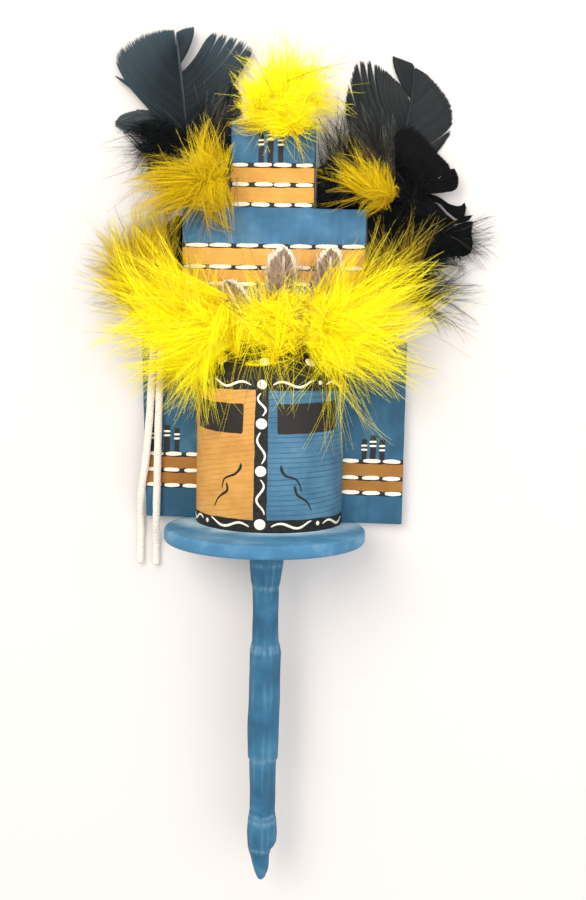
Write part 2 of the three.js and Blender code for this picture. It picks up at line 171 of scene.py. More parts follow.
def box_mm(node: str) -> tuple[Array, Array]:
    """A CAD node's lowest and highest corners in millimetres."""
    low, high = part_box(node)
    return np.array(low) / MM, np.array(high) / MM


def mesh_object(name: str, points: Array, faces: Sequence[Sequence[int]]) -> bpy.types.Object:
    """Make a mesh object from points in millimetres.

    Args:
        name: the object's name.
        points: the vertices, one row each.
        faces: the faces as rows of vertex numbers.

    Returns:
        The object, linked to the scene, with its place in its mesh.
    """
    mesh = bpy.data.meshes.new(name)
    mesh.from_pydata((np.asarray(points, float) * MM).tolist(), [], [list(f) for f in faces])
    mesh.update()
    made = bpy.data.objects.new(name, mesh)
    bpy.context.scene.collection.objects.link(made)
    return made


def tidy_normals(made: bpy.types.Object, sharp_degrees: float | None) -> None:
    """Turn a closed mesh's faces outwards and shade it smooth up to an angle.

    Args:
        made: the mesh object.
        sharp_degrees: edges turned further than this stay sharp; None shades everything smooth.
    """
    work = bmesh.new()
    work.from_mesh(made.data)
    bmesh.ops.recalc_face_normals(work, faces=work.faces)
    work.to_mesh(made.data)
    work.free()
    made.data.shade_smooth()
    if sharp_degrees is not None:
        made.data.set_sharp_from_angle(angle=math.radians(sharp_degrees))


def dress(made: bpy.types.Object, material: bpy.types.Material, slot: str, *nodes: str) -> bpy.types.Object:
    """Give a finished piece its material and its body, and hide the CAD nodes it stands for.

    Args:
        made: the finished piece.
        material: the material that covers it.
        slot: the record's material slot; not used.
        nodes: the CAD nodes that the piece replaces.

    Returns:
        The same piece.
    """
    made.data.materials.clear()
    made.data.materials.append(material)
    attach(made, BODY)
    if nodes:
        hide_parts(*nodes)
    log.info("made %s", made.name)
    return made


def loft_faces(rings: int, sides: int, closed: bool = True) -> list[tuple[int, ...]]:
    """Faces that join rings of points, with a cap over each end.

    Args:
        rings: how many rings there are.
        sides: how many points each ring has.
        closed: whether each ring runs round to its own start.

    Returns:
        Quads between the rings and one polygon at each end.
    """
    faces: list[tuple[int, ...]] = []
    for r in range(rings - 1):
        for i in range(sides if closed else sides - 1):
            a, b = r * sides + i, r * sides + (i + 1) % sides
            faces.append((a, b, b + sides, a + sides))
    faces.append(tuple(range(sides)))
    faces.append(tuple(range((rings - 1) * sides, rings * sides)))
    return faces


def spline(points: Sequence[Sequence[float]], count: int) -> Array:
    """Sample a smooth curve through points at even steps.

    Args:
        points: the points that the curve passes through.
        count: how many samples to return.

    Returns:
        The samples, one row each.
    """
    knots = np.asarray(points, float)
    if len(knots) == 2:
        return knots[0] + (knots[1] - knots[0]) * np.linspace(0, 1, count)[:, None]
    padded = np.vstack([2 * knots[0] - knots[1], knots, 2 * knots[-1] - knots[-2]])
    dense = []
    for i in range(1, len(padded) - 2):
        p0, p1, p2, p3 = padded[i - 1 : i + 3]
        t = np.linspace(0, 1, 24, endpoint=False)[:, None]
        dense.append(
            0.5 * (2 * p1 + (p2 - p0) * t + (2 * p0 - 5 * p1 + 4 * p2 - p3) * t**2
                   + (3 * p1 - p0 - 3 * p2 + p3) * t**3)
        )
    line = np.vstack([*dense, knots[-1:]])
    run = np.concatenate([[0], np.cumsum(np.linalg.norm(np.diff(line, axis=0), axis=1))])
    even = np.linspace(0, run[-1], count)
    return np.stack([np.interp(even, run, line[:, k]) for k in range(line.shape[1])], axis=1)


# ---------------------------------------------------------------------------------------------------
# finishes
# ---------------------------------------------------------------------------------------------------


def new_material(name: str) -> tuple[bpy.types.Material, bpy.types.NodeTree, bpy.types.Node]:
    """Start a node material.

    Args:
        name: the material's name.

    Returns:
        The material, its tree and its Principled shader.
    """
    material = bpy.data.materials.new(name)
    material.use_nodes = True
    tree = material.node_tree
    return material, tree, tree.nodes["Principled BSDF"]


def millimetres(tree: bpy.types.NodeTree, scale: tuple[float, float, float]) -> bpy.types.Node:
    """Object coordinates in millimetres, stretched by a scale on each axis.

    Args:
        tree: the material's tree.
        scale: pattern units for each millimetre along X, Y and Z.

    Returns:
        The mapped coordinates.
    """
    place = add_node(tree, COORDINATES).outputs["Object"]
    return add_node(tree, MAPPING, Vector=place, Scale=tuple(s / MM for s in scale))


def band(tree: bpy.types.NodeTree, value: object, low: float, high: float, soft: float) -> bpy.types.Node:
    """A mask that is 1 between two values and fades over a soft edge."""
    rise = add_node(tree, RAMP, value, low - soft, low + soft)
    fall = add_node(tree, RAMP, value, high - soft, high + soft)
    return add_node(tree, SUBTRACT, rise, fall)


@dataclass(frozen=True)
class StainedWood:
    """Light carved wood, sanded, then coloured with thin acrylic that lets the grain show through.

    The stain sinks into the soft grain, so the colour is streaked along the fibres, matte, and rubbed
    paler where the wood stands proud.
    """

    name: str
    colour: str
    deep: str
    pale: str
    grain: tuple[float, float, float]
    streak: float = 0.6
    # above this height (the top face) a painted highlight, paler near the Y axis, is mixed in
    highlight_above: float | None = None
    roughness: float = 0.62
    gloss: float = 0.3
    bump: float = 0.55
    cloud: float = 0.075
    speck: float = 1.1
    pooled: float = 0.8
    rubbed: float = 0.6
    speckled: float = 0.3
    pale_edge: str = "#7ea6ba"
    top_highlight: str = "#b3cfde"
    top_highlight_reach: tuple[float, float] = (46.0, 35.0)

    def colour_of(self, tree: bpy.types.NodeTree) -> bpy.types.Node:
        """Streaked stain colour, paler where the mesh marks it, and with a painted highlight on the top face
        if set.

        Args:
            tree: the material's tree.

        Returns:
            The node that gives the colour.
        """
        deep, pale = linear(self.deep), linear(self.pale)
        fibres = add_node(tree, NOISE, millimetres(tree, self.grain), 1.0, 4.0, 0.6)
        clouds = add_node(tree, NOISE, millimetres(tree, (self.cloud,) * 3), 1.0, 3.0, 0.55)
        specks = add_node(tree, NOISE, millimetres(tree, (self.speck,) * 3), 1.0, 2.0, 0.6)
        share = add_node(tree, MULTIPLY, add_node(tree, RAMP, fibres, 0.36, 0.7), self.streak)
        colour = add_node(tree, MIX, share, linear(self.colour), deep)
        share = add_node(tree, MULTIPLY, add_node(tree, RAMP, clouds, 0.54, 0.34), self.pooled)
        colour = add_node(tree, MIX, share, colour, deep)
        share = add_node(tree, MULTIPLY, add_node(tree, RAMP, clouds, 0.52, 0.72), self.rubbed)
        colour = add_node(tree, MIX, share, colour, pale)
        share = add_node(tree, MULTIPLY, add_node(tree, RAMP, specks, 0.6, 0.8), self.speckled)
        colour = add_node(tree, MIX, share, colour, pale)
        # paler along the edges that the mesh marks: the handle's flats' corners and knife steps
        paler_share = add_node(tree, PALER_SHARE).outputs["Fac"]
        share = add_node(tree, MULTIPLY, paler_share, add_node(tree, RAMP, fibres, 0.3, 0.62))
        colour = add_node(tree, MIX, share, colour, linear(self.pale_edge))
        # painted highlight on the top face: paler near the Y axis, in cloudy patches
        if self.highlight_above is None:
            return colour
        height = add_node(tree, SEPARATE, millimetres(tree, (1, 1, 1))).outputs["Y"]
        top = add_node(tree, RAMP, height, self.highlight_above - 0.5, self.highlight_above)
        reach = add_node(tree, LENGTH, millimetres(tree, (1, 0, 1)))
        foot = add_node(tree, RAMP, reach, *self.top_highlight_reach)
        share = add_node(tree, MULTIPLY, top, foot)
        share = add_node(tree, MULTIPLY, share, add_node(tree, RAMP, clouds, 0.2, 0.55))
        return add_node(tree, MIX, share, colour, linear(self.top_highlight))

    def relief(self, tree: bpy.types.NodeTree) -> bpy.types.Node:
        """Fine raised fibres, as a height from 0 to 1."""
        return add_node(tree, NOISE, millimetres(tree, tuple(4 * g for g in self.grain)), 1.0, 3.0, 0.6)

    def make(self) -> bpy.types.Material:
        """Build the plain stained wood."""
        material, tree, shader = new_material(self.name)
        feed(shader, Base_Color=self.colour_of(tree))
        self.finish(tree, shader, self.relief(tree), 0.12)
        return material

    def finish(
        self, tree: bpy.types.NodeTree, shader: bpy.types.Node, height: bpy.types.Node, depth: float
    ) -> None:
        """Set the matte gloss and the bump.

        Args:
            tree: the material's tree.
            shader: its Principled shader.
            height: the relief from 0 to 1.
            depth: how deep the relief is in millimetres.
        """
        bump = add_node(tree, BUMP, Height=height, Strength=self.bump, Distance=depth * MM)
        feed(shader, Normal=bump, Roughness=self.roughness, Specular_IOR_Level=self.gloss)


@dataclass(frozen=True)
class BoardPaint:
    """The tableta's paint: blue stain with flat orange bands between the black lines.

    Faint slanting saw marks, 1 mm apart, show through, and the two wings carry painted shade: below their top
    the colour is multiplied darker, for the shade of the plumes and the mask.
    """

    blue: StainedWood
    orange: StainedWood
    bands: tuple[tuple[float, float], ...]
    saw_pitch: float = 1.0
    saw_slant: float = 32
    saw_mark: str = "#5a4424"
    front: tuple[float, float] = (5.5, 5.6)
    edge: float = 0.12
    # the wings' painted shade: the colours the wings are multiplied by, its strength, and the Y range over
    # which it fades in
    wing_shade_blue: str = "#b8cdcb"
    wing_shade_orange: str = "#b4a698"
    wing_shade_strength: float = 1.0
    wing_top: tuple[float, float] = (52.0, 34.0)

    def make(self) -> bpy.types.Material:
        """Build the banded paint on the board's front."""
        material, tree, shader = new_material("banded_board_paint")
        place = add_node(tree, SEPARATE, millimetres(tree, (1, 1, 1)))
        drift = add_node(tree, NOISE, millimetres(tree, (0.15, 0.02, 0.15)), 1.0, 3.0)
        wobble = add_node(tree, MULTIPLY, drift, 0.8)
        height = add_node(tree, ADD, place.outputs["Y"], wobble)
        orange_share: object = 0.0
        for low, high in self.bands:
            stripe = band(tree, height, low + 0.4, high + 0.4, self.edge)
            orange_share = add_node(tree, ADD, orange_share, stripe)
        front = add_node(tree, RAMP, place.outputs["Z"], *self.front)
        share = add_node(tree, MULTIPLY, orange_share, front)
        colour = add_node(tree, MIX, share, self.blue.colour_of(tree), self.orange.colour_of(tree))
        slant = add_node(
            tree, MAPPING, Vector=millimetres(tree, (1, 1, 1)), Rotation=(0, 0, math.radians(self.saw_slant))
        )
        marks = add_node(
            tree, SAW_MARKS, Vector=slant, Scale=0.314 / self.saw_pitch, Distortion=1.6, Detail=2.0,
            Detail_Scale=0.4,
        ).outputs["Fac"]
        scratch = add_node(tree, MULTIPLY, add_node(tree, RAMP, marks, 0.55, 0.95), 0.2)
        colour = add_node(tree, MIX, scratch, colour, linear(self.saw_mark))
        # painted shade: below the wings' top the colour is multiplied towards darker blue and orange
        wings = add_node(tree, RAMP, place.outputs["Y"], *self.wing_top)
        wing_shade = add_node(tree, MULTIPLY, wings, self.wing_shade_strength)
        wing_shade_colour = add_node(tree, MIX, share, linear(self.wing_shade_blue), linear(self.wing_shade_orange))
        feed(shader, Base_Color=add_node(tree, MIX_MULTIPLY, wing_shade, colour, wing_shade_colour))
        fibres = self.blue.relief(tree)
        relief = add_node(tree, ADD, fibres, add_node(tree, MULTIPLY, marks, 0.4))
        self.blue.finish(tree, shader, relief, 0.15)
        return material


@dataclass(frozen=True)
class MaskPaint:
    """The case mask's paint: orange and blue cheeks between black bands, with growth rings showing.

    The rings stand as hair-fine dark grooves round the half cylinder, about 2 mm apart, because the hard
    late wood keeps less paint.
    """

    blue: StainedWood
    orange: StainedWood
    black: str
    centre_z: float
    radius: float
    stripe: tuple[float, float]
    top_band: float
    foot_band: float
    edge: float = 0.12
    dusty_black: str = "#2c2c2e"
    orange_groove: str = "#7a4f1e"
    blue_groove: str = "#173448"
    ring_spacing: float = 2.1
    ring_tilt: tuple[float, float] = (0.17, 0.045)
    ring_strength: tuple[float, float] = (0.34, 0.62)

    def make(self) -> bpy.types.Material:
        """Build the divided face."""
        material, tree, shader = new_material("divided_mask_paint")
        place = add_node(tree, SEPARATE, millimetres(tree, (1, 1, 1)))
        x, y, z = (place.outputs[axis] for axis in "XYZ")
        depth = add_node(tree, SUBTRACT, z, self.centre_z)
        around = add_node(tree, MULTIPLY, add_node(tree, ARCTAN2, x, depth), self.radius)
        wander = add_node(tree, NOISE, millimetres(tree, (0.12, 0.12, 0.12)), 1.0, 3.0)
        wobble = add_node(tree, SUBTRACT, add_node(tree, MULTIPLY, wander, 1.2), 0.6)
        across = add_node(tree, ADD, around, wobble)
        height = add_node(tree, ADD, y, wobble)

        drift = add_node(tree, NOISE, millimetres(tree, (0.02, 0.09, 0.02)), 1.0, 2.0)
        drift = add_node(tree, MULTIPLY, drift, 3.2)
        blue_side = add_node(tree, RAMP, across, -0.6, -0.4)
        left, right = self.ring_tilt
        tilt = add_node(tree, REMAP, blue_side, To_Min=-left, To_Max=-right)
        rise = add_node(tree, MULTIPLY, around, tilt)
        level = add_node(tree, ADD, add_node(tree, ADD, y, rise), drift)
        turn = add_node(tree, FRACT, add_node(tree, DIVIDE, level, self.ring_spacing))
        ring = band(tree, turn, 0.42, 0.57, 0.09)
        faint = add_node(tree, NOISE, millimetres(tree, (0.07, 0.3, 0.07)), 1.0, 3.0)
        faint = add_node(tree, RAMP, faint, 0.2, 0.6)
        left, right = self.ring_strength
        strength = add_node(tree, REMAP, blue_side, To_Min=left, To_Max=right)
        groove = add_node(tree, MULTIPLY, add_node(tree, MULTIPLY, ring, faint), strength)

        cheeks = add_node(tree, MIX, blue_side, self.orange.colour_of(tree), self.blue.colour_of(tree))
        deep = add_node(tree, MIX, blue_side, linear(self.orange_groove), linear(self.blue_groove))
        cheeks = add_node(tree, MIX, groove, cheeks, deep)
        stripe = band(tree, across, *self.stripe, self.edge)
        crown = add_node(tree, RAMP, height, self.top_band - self.edge, self.top_band + self.edge)
        foot = add_node(tree, RAMP, height, self.foot_band - self.edge, self.foot_band + self.edge)
        foot = add_node(tree, SUBTRACT, 1.0, foot)
        dark = add_node(tree, MAXIMUM, stripe, add_node(tree, MAXIMUM, crown, foot))
        dust = add_node(tree, NOISE, millimetres(tree, (0.6, 0.6, 0.6)), 1.0, 4.0)
        dust = add_node(tree, RAMP, dust, 0.45, 0.8)
        black = add_node(tree, MIX, dust, linear(self.black), linear(self.dusty_black))
        feed(shader, Base_Color=add_node(tree, MIX, dark, cheeks, black))
        fibres = self.blue.relief(tree)
        relief = add_node(tree, SUBTRACT, fibres, add_node(tree, MULTIPLY, groove, 1.6))
        self.blue.finish(tree, shader, relief, 0.14)
        return material


@dataclass(frozen=True)
class BrushPaint:
    """Thick acrylic laid on with a fine brush: a smooth film with a slight sheen and faint bristle marks."""

    name: str
    colour: str
    thin: str
    roughness: float = 0.5
    gloss: float = 0.35

    def make(self) -> bpy.types.Material:
        """Build the brushed film."""
        material, tree, shader = new_material(self.name)
        marks = add_node(tree, NOISE, millimetres(tree, (1.2, 1.2, 1.2)), 1.0, 3.0, 0.6)
        thinned = add_node(tree, RAMP, marks, 0.45, 0.75)
        colour = add_node(tree, MIX, thinned, linear(self.colour), linear(self.thin))
        feed(shader, Base_Color=colour, Roughness=self.roughness, Specular_IOR_Level=self.gloss)
        feed(shader, Normal=add_node(tree, BUMP, Height=marks, Strength=0.3, Distance=0.05 * MM))
        return material


@dataclass(frozen=True)
class DyedDown:
    """Marabou, a turkey's soft under-down, dyed: silky barbs that are deep at the root and pale at the tip.

    Each strand carries its own `tint` (0..1) and its place `along` from root to tip, so the dye varies
    from strand to strand as it does in a bought plume; the plumes also lower the tint as painted shade.
    """

    name: str
    root: str
    body: str
    bright: str
    tip: str
    shade: str
    roughness: float = 0.7
    sheen: float = 0.25
    painted_glow: float = 0.0
    gloss: float = 0.08

    def make(self) -> bpy.types.Material:
        """Build the dyed strands."""
        material, tree, shader = new_material(self.name)
        tint, along = (add_node(tree, kind).outputs["Fac"] for kind in (TINT, ALONG))
        colour = add_node(tree, MIX, tint, linear(self.body), linear(self.bright))
        colour = add_node(tree, MIX, add_node(tree, RAMP, along, 0.0, 0.14), linear(self.root), colour)
        colour = add_node(tree, MIX, add_node(tree, RAMP, along, 0.7, 1.0), colour, linear(self.tip))
        colour = add_node(tree, MIX, add_node(tree, RAMP, tint, 0.9, 1.0), colour, linear(self.shade))
        # painted glow: a little of the body colour is given out as emission, for light scattered through the
        # barbs
        feed(
            shader, Base_Color=colour, Roughness=self.roughness, Specular_IOR_Level=self.gloss,
            Sheen_Weight=self.sheen, Sheen_Tint=linear(self.bright), Emission_Color=linear(self.body),
            Emission_Strength=self.painted_glow,
        )
        return material


@dataclass(frozen=True)
class VaneSheen:
    """A dyed-black body feather: close barbs that lie like fine ribs and catch a cool, silky light."""

    name: str
    colour: str
    lit: str
    down: str
    roughness: float = 0.42
    gloss: float = 0.22
    edge: tuple[float, float] = (0.75, 1.0)

    def make(self) -> bpy.types.Material:
        """Build the ribbed vane."""
        material, tree, shader = new_material(self.name)
        tint, along = (add_node(tree, kind).outputs["Fac"] for kind in (TINT, ALONG))
        colour = add_node(tree, MIX, tint, linear(self.colour), linear(self.lit))
        # towards the barb tips the colour turns to `down`: downy tips on most vanes, the cream bar on the
        # barred vane, and a painted bluish sheen over the outer barbs of the black vane
        colour = add_node(tree, MIX, add_node(tree, RAMP, along, *self.edge), colour, linear(self.down))
        feed(shader, Base_Color=colour, Roughness=self.roughness, Specular_IOR_Level=self.gloss)
        return material


@dataclass(frozen=True)
class SuedeLace:
    """White sueded lacing: chalky split hide with a short nap, slightly yellowed in the hollows."""

    name: str = "sueded_lace"
    colour: str = "#f6efe4"
    hollow: str = "#d9cfbf"
    roughness: float = 0.95
    sheen: float = 0.3

    def make(self) -> bpy.types.Material:
        """Build the napped hide."""
        material, tree, shader = new_material(self.name)
        nap = add_node(tree, NOISE, millimetres(tree, (1.6, 1.6, 1.6)), 1.0, 5.0, 0.65)
        raised = add_node(tree, RAMP, nap, 0.35, 0.6)
        colour = add_node(tree, MIX, raised, linear(self.hollow), linear(self.colour))
        feed(shader, Base_Color=colour, Roughness=self.roughness, Sheen_Weight=self.sheen)
        feed(shader, Normal=add_node(tree, BUMP, Height=nap, Strength=0.8, Distance=0.25 * MM))
        return material


# The board's straight fibres run up the doll, and the mask's and disc's run round it.
BOARD_BLUE = StainedWood("board_blue", "#3f789f", "#2f6385", "#6393af", (0.45, 0.03, 0.45), 0.5)
BOARD_ORANGE = StainedWood("board_orange", "#e8ac4e", "#d99b42", "#eebb66", (0.03, 0.7, 0.3), 0.4)
MASK_BLUE = StainedWood("mask_blue", "#4b7994", "#3a657f", "#5f8ba2", (0.04, 0.7, 0.04), 0.4)
MASK_ORANGE = StainedWood("mask_orange", "#d39b4c", "#c28940", "#dba75c", (0.04, 0.7, 0.04), 0.4)
# the disc's top face, above Y -30.3, gets a painted highlight near the mask's foot
DISC_BLUE = StainedWood("disc_blue", "#4780a4", "#3a7092", "#76a2bc", (0.05, 0.4, 0.05), 0.5, -30.3)
HANDLE_BLUE = StainedWood("handle_blue", "#2f6788", "#245470", "#4a7e9b", (0.7, 0.03, 0.7), 0.35)
BLACK_PAINT = BrushPaint("black_brush_paint", "#131212", "#211f1f")
EYE_PAINT = BrushPaint("eye_brush_paint", "#1f1a16", "#2b2621", 0.6)
WHITE_PAINT = BrushPaint("cream_brush_paint", "#faf3de", "#efe5cb")
YELLOW_DOWN = DyedDown("yellow_marabou", "#e8c808", "#e4c00c", "#fffd14", "#eee240", "#77762c", painted_glow=0.2)
GOLD_DOWN = DyedDown("gold_marabou", "#9c7204", "#bd950a", "#f0cf12", "#c9b634", "#5f561a", painted_glow=0.05)
# black vane: its `down` colour, bluish-grey from a quarter of the way out, is a painted sheen
BLACK_VANE = VaneSheen("black_vane", "#0b1114", "#1d2a30", "#2f4048", edge=(0.25, 1.0))
DEEP_BLACK_VANE = VaneSheen("deep_black_vane", "#030303", "#08090a", "#050606", 0.6, 0.1)
BARRED_VANE = VaneSheen("barred_vane", "#80604a", "#f2e4cc", "#f4e9d6", 0.6, 0.1, (0.66, 0.76))
DARK_VANE = VaneSheen("dark_vane", "#0c1012", "#20282b", "#13181a", 0.45, 0.25)
GREY_VANE = VaneSheen("grey_black_vane", "#2b3335", "#4c5658", "#525c5e")
BLACK_DOWN = DyedDown("black_down", "#050505", "#0a0b0b", "#14181a", "#25292b", "#3d3a30", 0.8, 0.0)
BROWN_DOWN = DyedDown("brown_grey_down", "#0e0d0a", "#201e1a", "#45423a", "#66645c", "#191916", 0.8, 0.05)
BRONZE_DOWN = DyedDown("bronze_marabou", "#2c1d06", "#7a5a0e", "#c9a51c", "#a89a3a", "#2c250e")
FAWN_DOWN = DyedDown("fawn_down", "#7d5f4a", "#8f705a", "#c4a98e", "#d9c6ae", "#5d4a3a")


# ---------------------------------------------------------------------------------------------------
# camera, floor and light
# ---------------------------------------------------------------------------------------------------


@dataclass
class Studio:
    """The camera that looks down on the lying doll, the pale floor and the soft lights."""

    eye: tuple[float, float, float] = (44.1, 45.9, 439.9)
    target: tuple[float, float, float] = (9.66, 0.12, 6.0)
    roll: float = 1.2
    lens: float = 41.68
    floor_size: float = 6000
    floor_gap: float = 0.05
    floor_colour: str = "#dfdad6"
    room_colour: str = "#fbf9f7"
    room_strength: float = 0.62
    lit_place: tuple[float, float, float] = (0, 30, 20)

    def camera(self) -> None:
        """Make the scene's camera."""
        data = bpy.data.cameras.new("camera")
        data.lens = self.lens
        data.sensor_width = 36
        data.clip_start, data.clip_end = 0.01, 50
        made = bpy.data.objects.new("camera", data)
        bpy.context.scene.collection.objects.link(made)
        ahead = (Vector(self.target) - Vector(self.eye)).normalized()
        right = ahead.cross(Vector((0, 1, 0))).normalized()
        up = right.cross(ahead)
        turned = Matrix.Rotation(math.radians(self.roll), 3, -ahead)
        right, up = turned @ right, turned @ up
        basis = Matrix((right, up, -ahead)).transposed().to_4x4()
        made.matrix_world = Matrix.Translation(Vector(self.eye) * MM) @ basis
        bpy.context.scene.camera = made

    def floor(self) -> None:
        """Lay the plain pale floor just under the doll."""
        half = self.floor_size / 2
        corners = np.array([(-half, -half, 0), (half, -half, 0), (half, half, 0), (-half, half, 0)])
        made = mesh_object("floor", corners - (0, 0, self.floor_gap), [(0, 1, 2, 3)])
        material, _, shader = new_material("pale_floor")
        feed(shader, Base_Color=linear(self.floor_colour), Roughness=0.9, Specular_IOR_Level=0.1)
        made.data.materials.append(material)

    def light(
        self, name: str, place: tuple[float, float, float], size: float, power: float, tone: str
    ) -> None:
        """Add one soft lamp that faces the doll.

        Args:
            name: the lamp's name.
            place: where it stands, in millimetres.
            size: its side in millimetres.
            power: its power in watts.
            tone: its colour.
        """
        data = bpy.data.lights.new(name, "AREA")
        data.size = size * MM
        data.energy = power
        data.color = linear(tone)[:3]
        made = bpy.data.objects.new(name, data)
        bpy.context.scene.collection.objects.link(made)
        made.location = Vector(place) * MM
        made.rotation_mode = "QUATERNION"
        made.rotation_quaternion = (Vector(self.lit_place) - Vector(place)).to_track_quat("-Z", "Y")

    def lights(self) -> None:
        """Set the key from the upper left, a wide fill and the bright room."""
        self.light("key", (-500, 600, 1200), 900, 13.5, "#fffaf4")
        self.light("fill", (700, -100, 1200), 1500, 12, "#f6f9ff")
        self.light("window", (100, 1500, 500), 900, 7, "#f2f8ff")
        world = bpy.data.worlds.new("room")
        world.use_nodes = True
        feed(world.node_tree.nodes["Background"], Color=linear(self.room_colour), Strength=self.room_strength)
        bpy.context.scene.world = world
        bpy.context.scene.view_settings.view_transform = "Standard"


# ---------------------------------------------------------------------------------------------------
# brushwork
# ---------------------------------------------------------------------------------------------------

Surface = Callable[[Array, Array, Array], Array]


class Tip(Enum):
    """How a brush mark's width changes from end to end."""

    LINE = "line"
    DASH = "dash"
    DOT = "dot"
    TAPER = "taper"
    PATCH = "patch"


@dataclass
class Brushwork:
    """Marks of one colour on one surface, gathered into one mesh of thin convex films."""

    name: str
    surface: Surface
    material: bpy.types.Material
    slot: str
    film: float = 0.06
    seed: int = 3
    points: list[Array] = field(default_factory=list)
    faces: list[tuple[int, ...]] = field(default_factory=list)

    def __post_init__(self) -> None:
        """Start the hand's unsteadiness from a fixed seed."""
        self.hand = np.random.default_rng(self.seed)

    @staticmethod
    def width_profile(tip: Tip, t: Array) -> Array:
        """A mark's share of its full width along its length.

        Args:
            tip: the kind of mark.
            t: places from 0 to 1.

        Returns:
            The share at each place.
        """
        if tip is Tip.DOT:
            return np.sqrt(np.clip(1 - (2 * t - 1) ** 2, 0, 1))
        if tip is Tip.DASH:
            return np.clip(np.sin(np.pi * t), 0, 1) ** 0.3
        if tip is Tip.TAPER:
            return (
                np.clip(np.minimum(t / 0.12, 1), 0, 1) ** 0.5 * (1 - 0.62 * t)
                * np.clip((1 - t) / 0.06, 0, 1) ** 0.5
            )
        if tip is Tip.PATCH:
            return np.clip(np.minimum(t, 1 - t) / 0.03, 0, 1) ** 0.25 * 0.06 + 0.94
        return np.ones_like(t)

    def mark(self, line: Sequence[Point], width: float, tip: Tip = Tip.LINE, unsteady: float = 0.12) -> None:
        """Paint one mark.

        Args:
            line: the mark's centre line on the surface.
            width: its full width in millimetres.
            tip: how its width changes.
            unsteady: how far the hand strays, as a share of the width.
        """
        knots = np.asarray(line, float)
        length = float(np.linalg.norm(np.diff(knots, axis=0), axis=1).sum())
        count = max(9, int(length / 0.55))
        path = spline(knots, count)
        t = np.linspace(0, 1, count)
        if tip is Tip.DOT:
            t = 0.5 - 0.5 * np.cos(np.pi * t)
            path = np.stack([np.interp(t, np.linspace(0, 1, count), path[:, k]) for k in (0, 1)], axis=1)
        along = np.gradient(path, axis=0)
        along /= np.maximum(np.linalg.norm(along, axis=1), 1e-9)[:, None]
        across = np.stack([-along[:, 1], along[:, 0]], axis=1)
        sway = np.sum(
            [np.sin(2 * np.pi * (t * length / period + self.hand.random())) for period in (3.1, 5.3, 9.7)],
            axis=0
        ) / 3
        half = width / 2 * self.width_profile(tip, t) * (1 + unsteady * sway)
        drift = width * unsteady * 0.35 * np.sin(2 * np.pi * (t * length / 7.7 + self.hand.random()))
        columns = np.array([-1, -0.82, -0.4, 0, 0.4, 0.82, 1])
        lifts = np.array([-0.3, 0.7, 1, 1, 1, 0.7, -0.3]) * self.film
        places = (
            path[:, None, :] + across[:, None, :] * (half[:, None] * columns + drift[:, None])[:, :, None]
        )
        lift = np.broadcast_to(lifts, places.shape[:2]).copy()
        lift[0] = lift[-1] = -0.3 * self.film
        grid = self.surface(places[..., 0].ravel(), places[..., 1].ravel(), lift.ravel())
        start = sum(len(p) for p in self.points)
        self.points.append(grid)
        wide = len(columns)
        for r in range(count - 1):
            for c in range(wide - 1):
                a = start + r * wide + c
                self.faces.append((a, a + 1, a + 1 + wide, a + wide))

    def make(self) -> bpy.types.Object:
        """Join the marks into one piece."""
        made = mesh_object(self.name, np.vstack(self.points), self.faces)
        made.data.shade_smooth()
        if made.data.polygons and self.faces_down(made):
            made.data.flip_normals()
        return dress(made, self.material, self.slot)

    @staticmethod
    def faces_down(made: bpy.types.Object) -> bool:
        """Whether most of a film's faces look into the wood."""
        return sum(p.normal.z * p.area for p in made.data.polygons) < 0


# ---------------------------------------------------------------------------------------------------
# woodwork
# ---------------------------------------------------------------------------------------------------


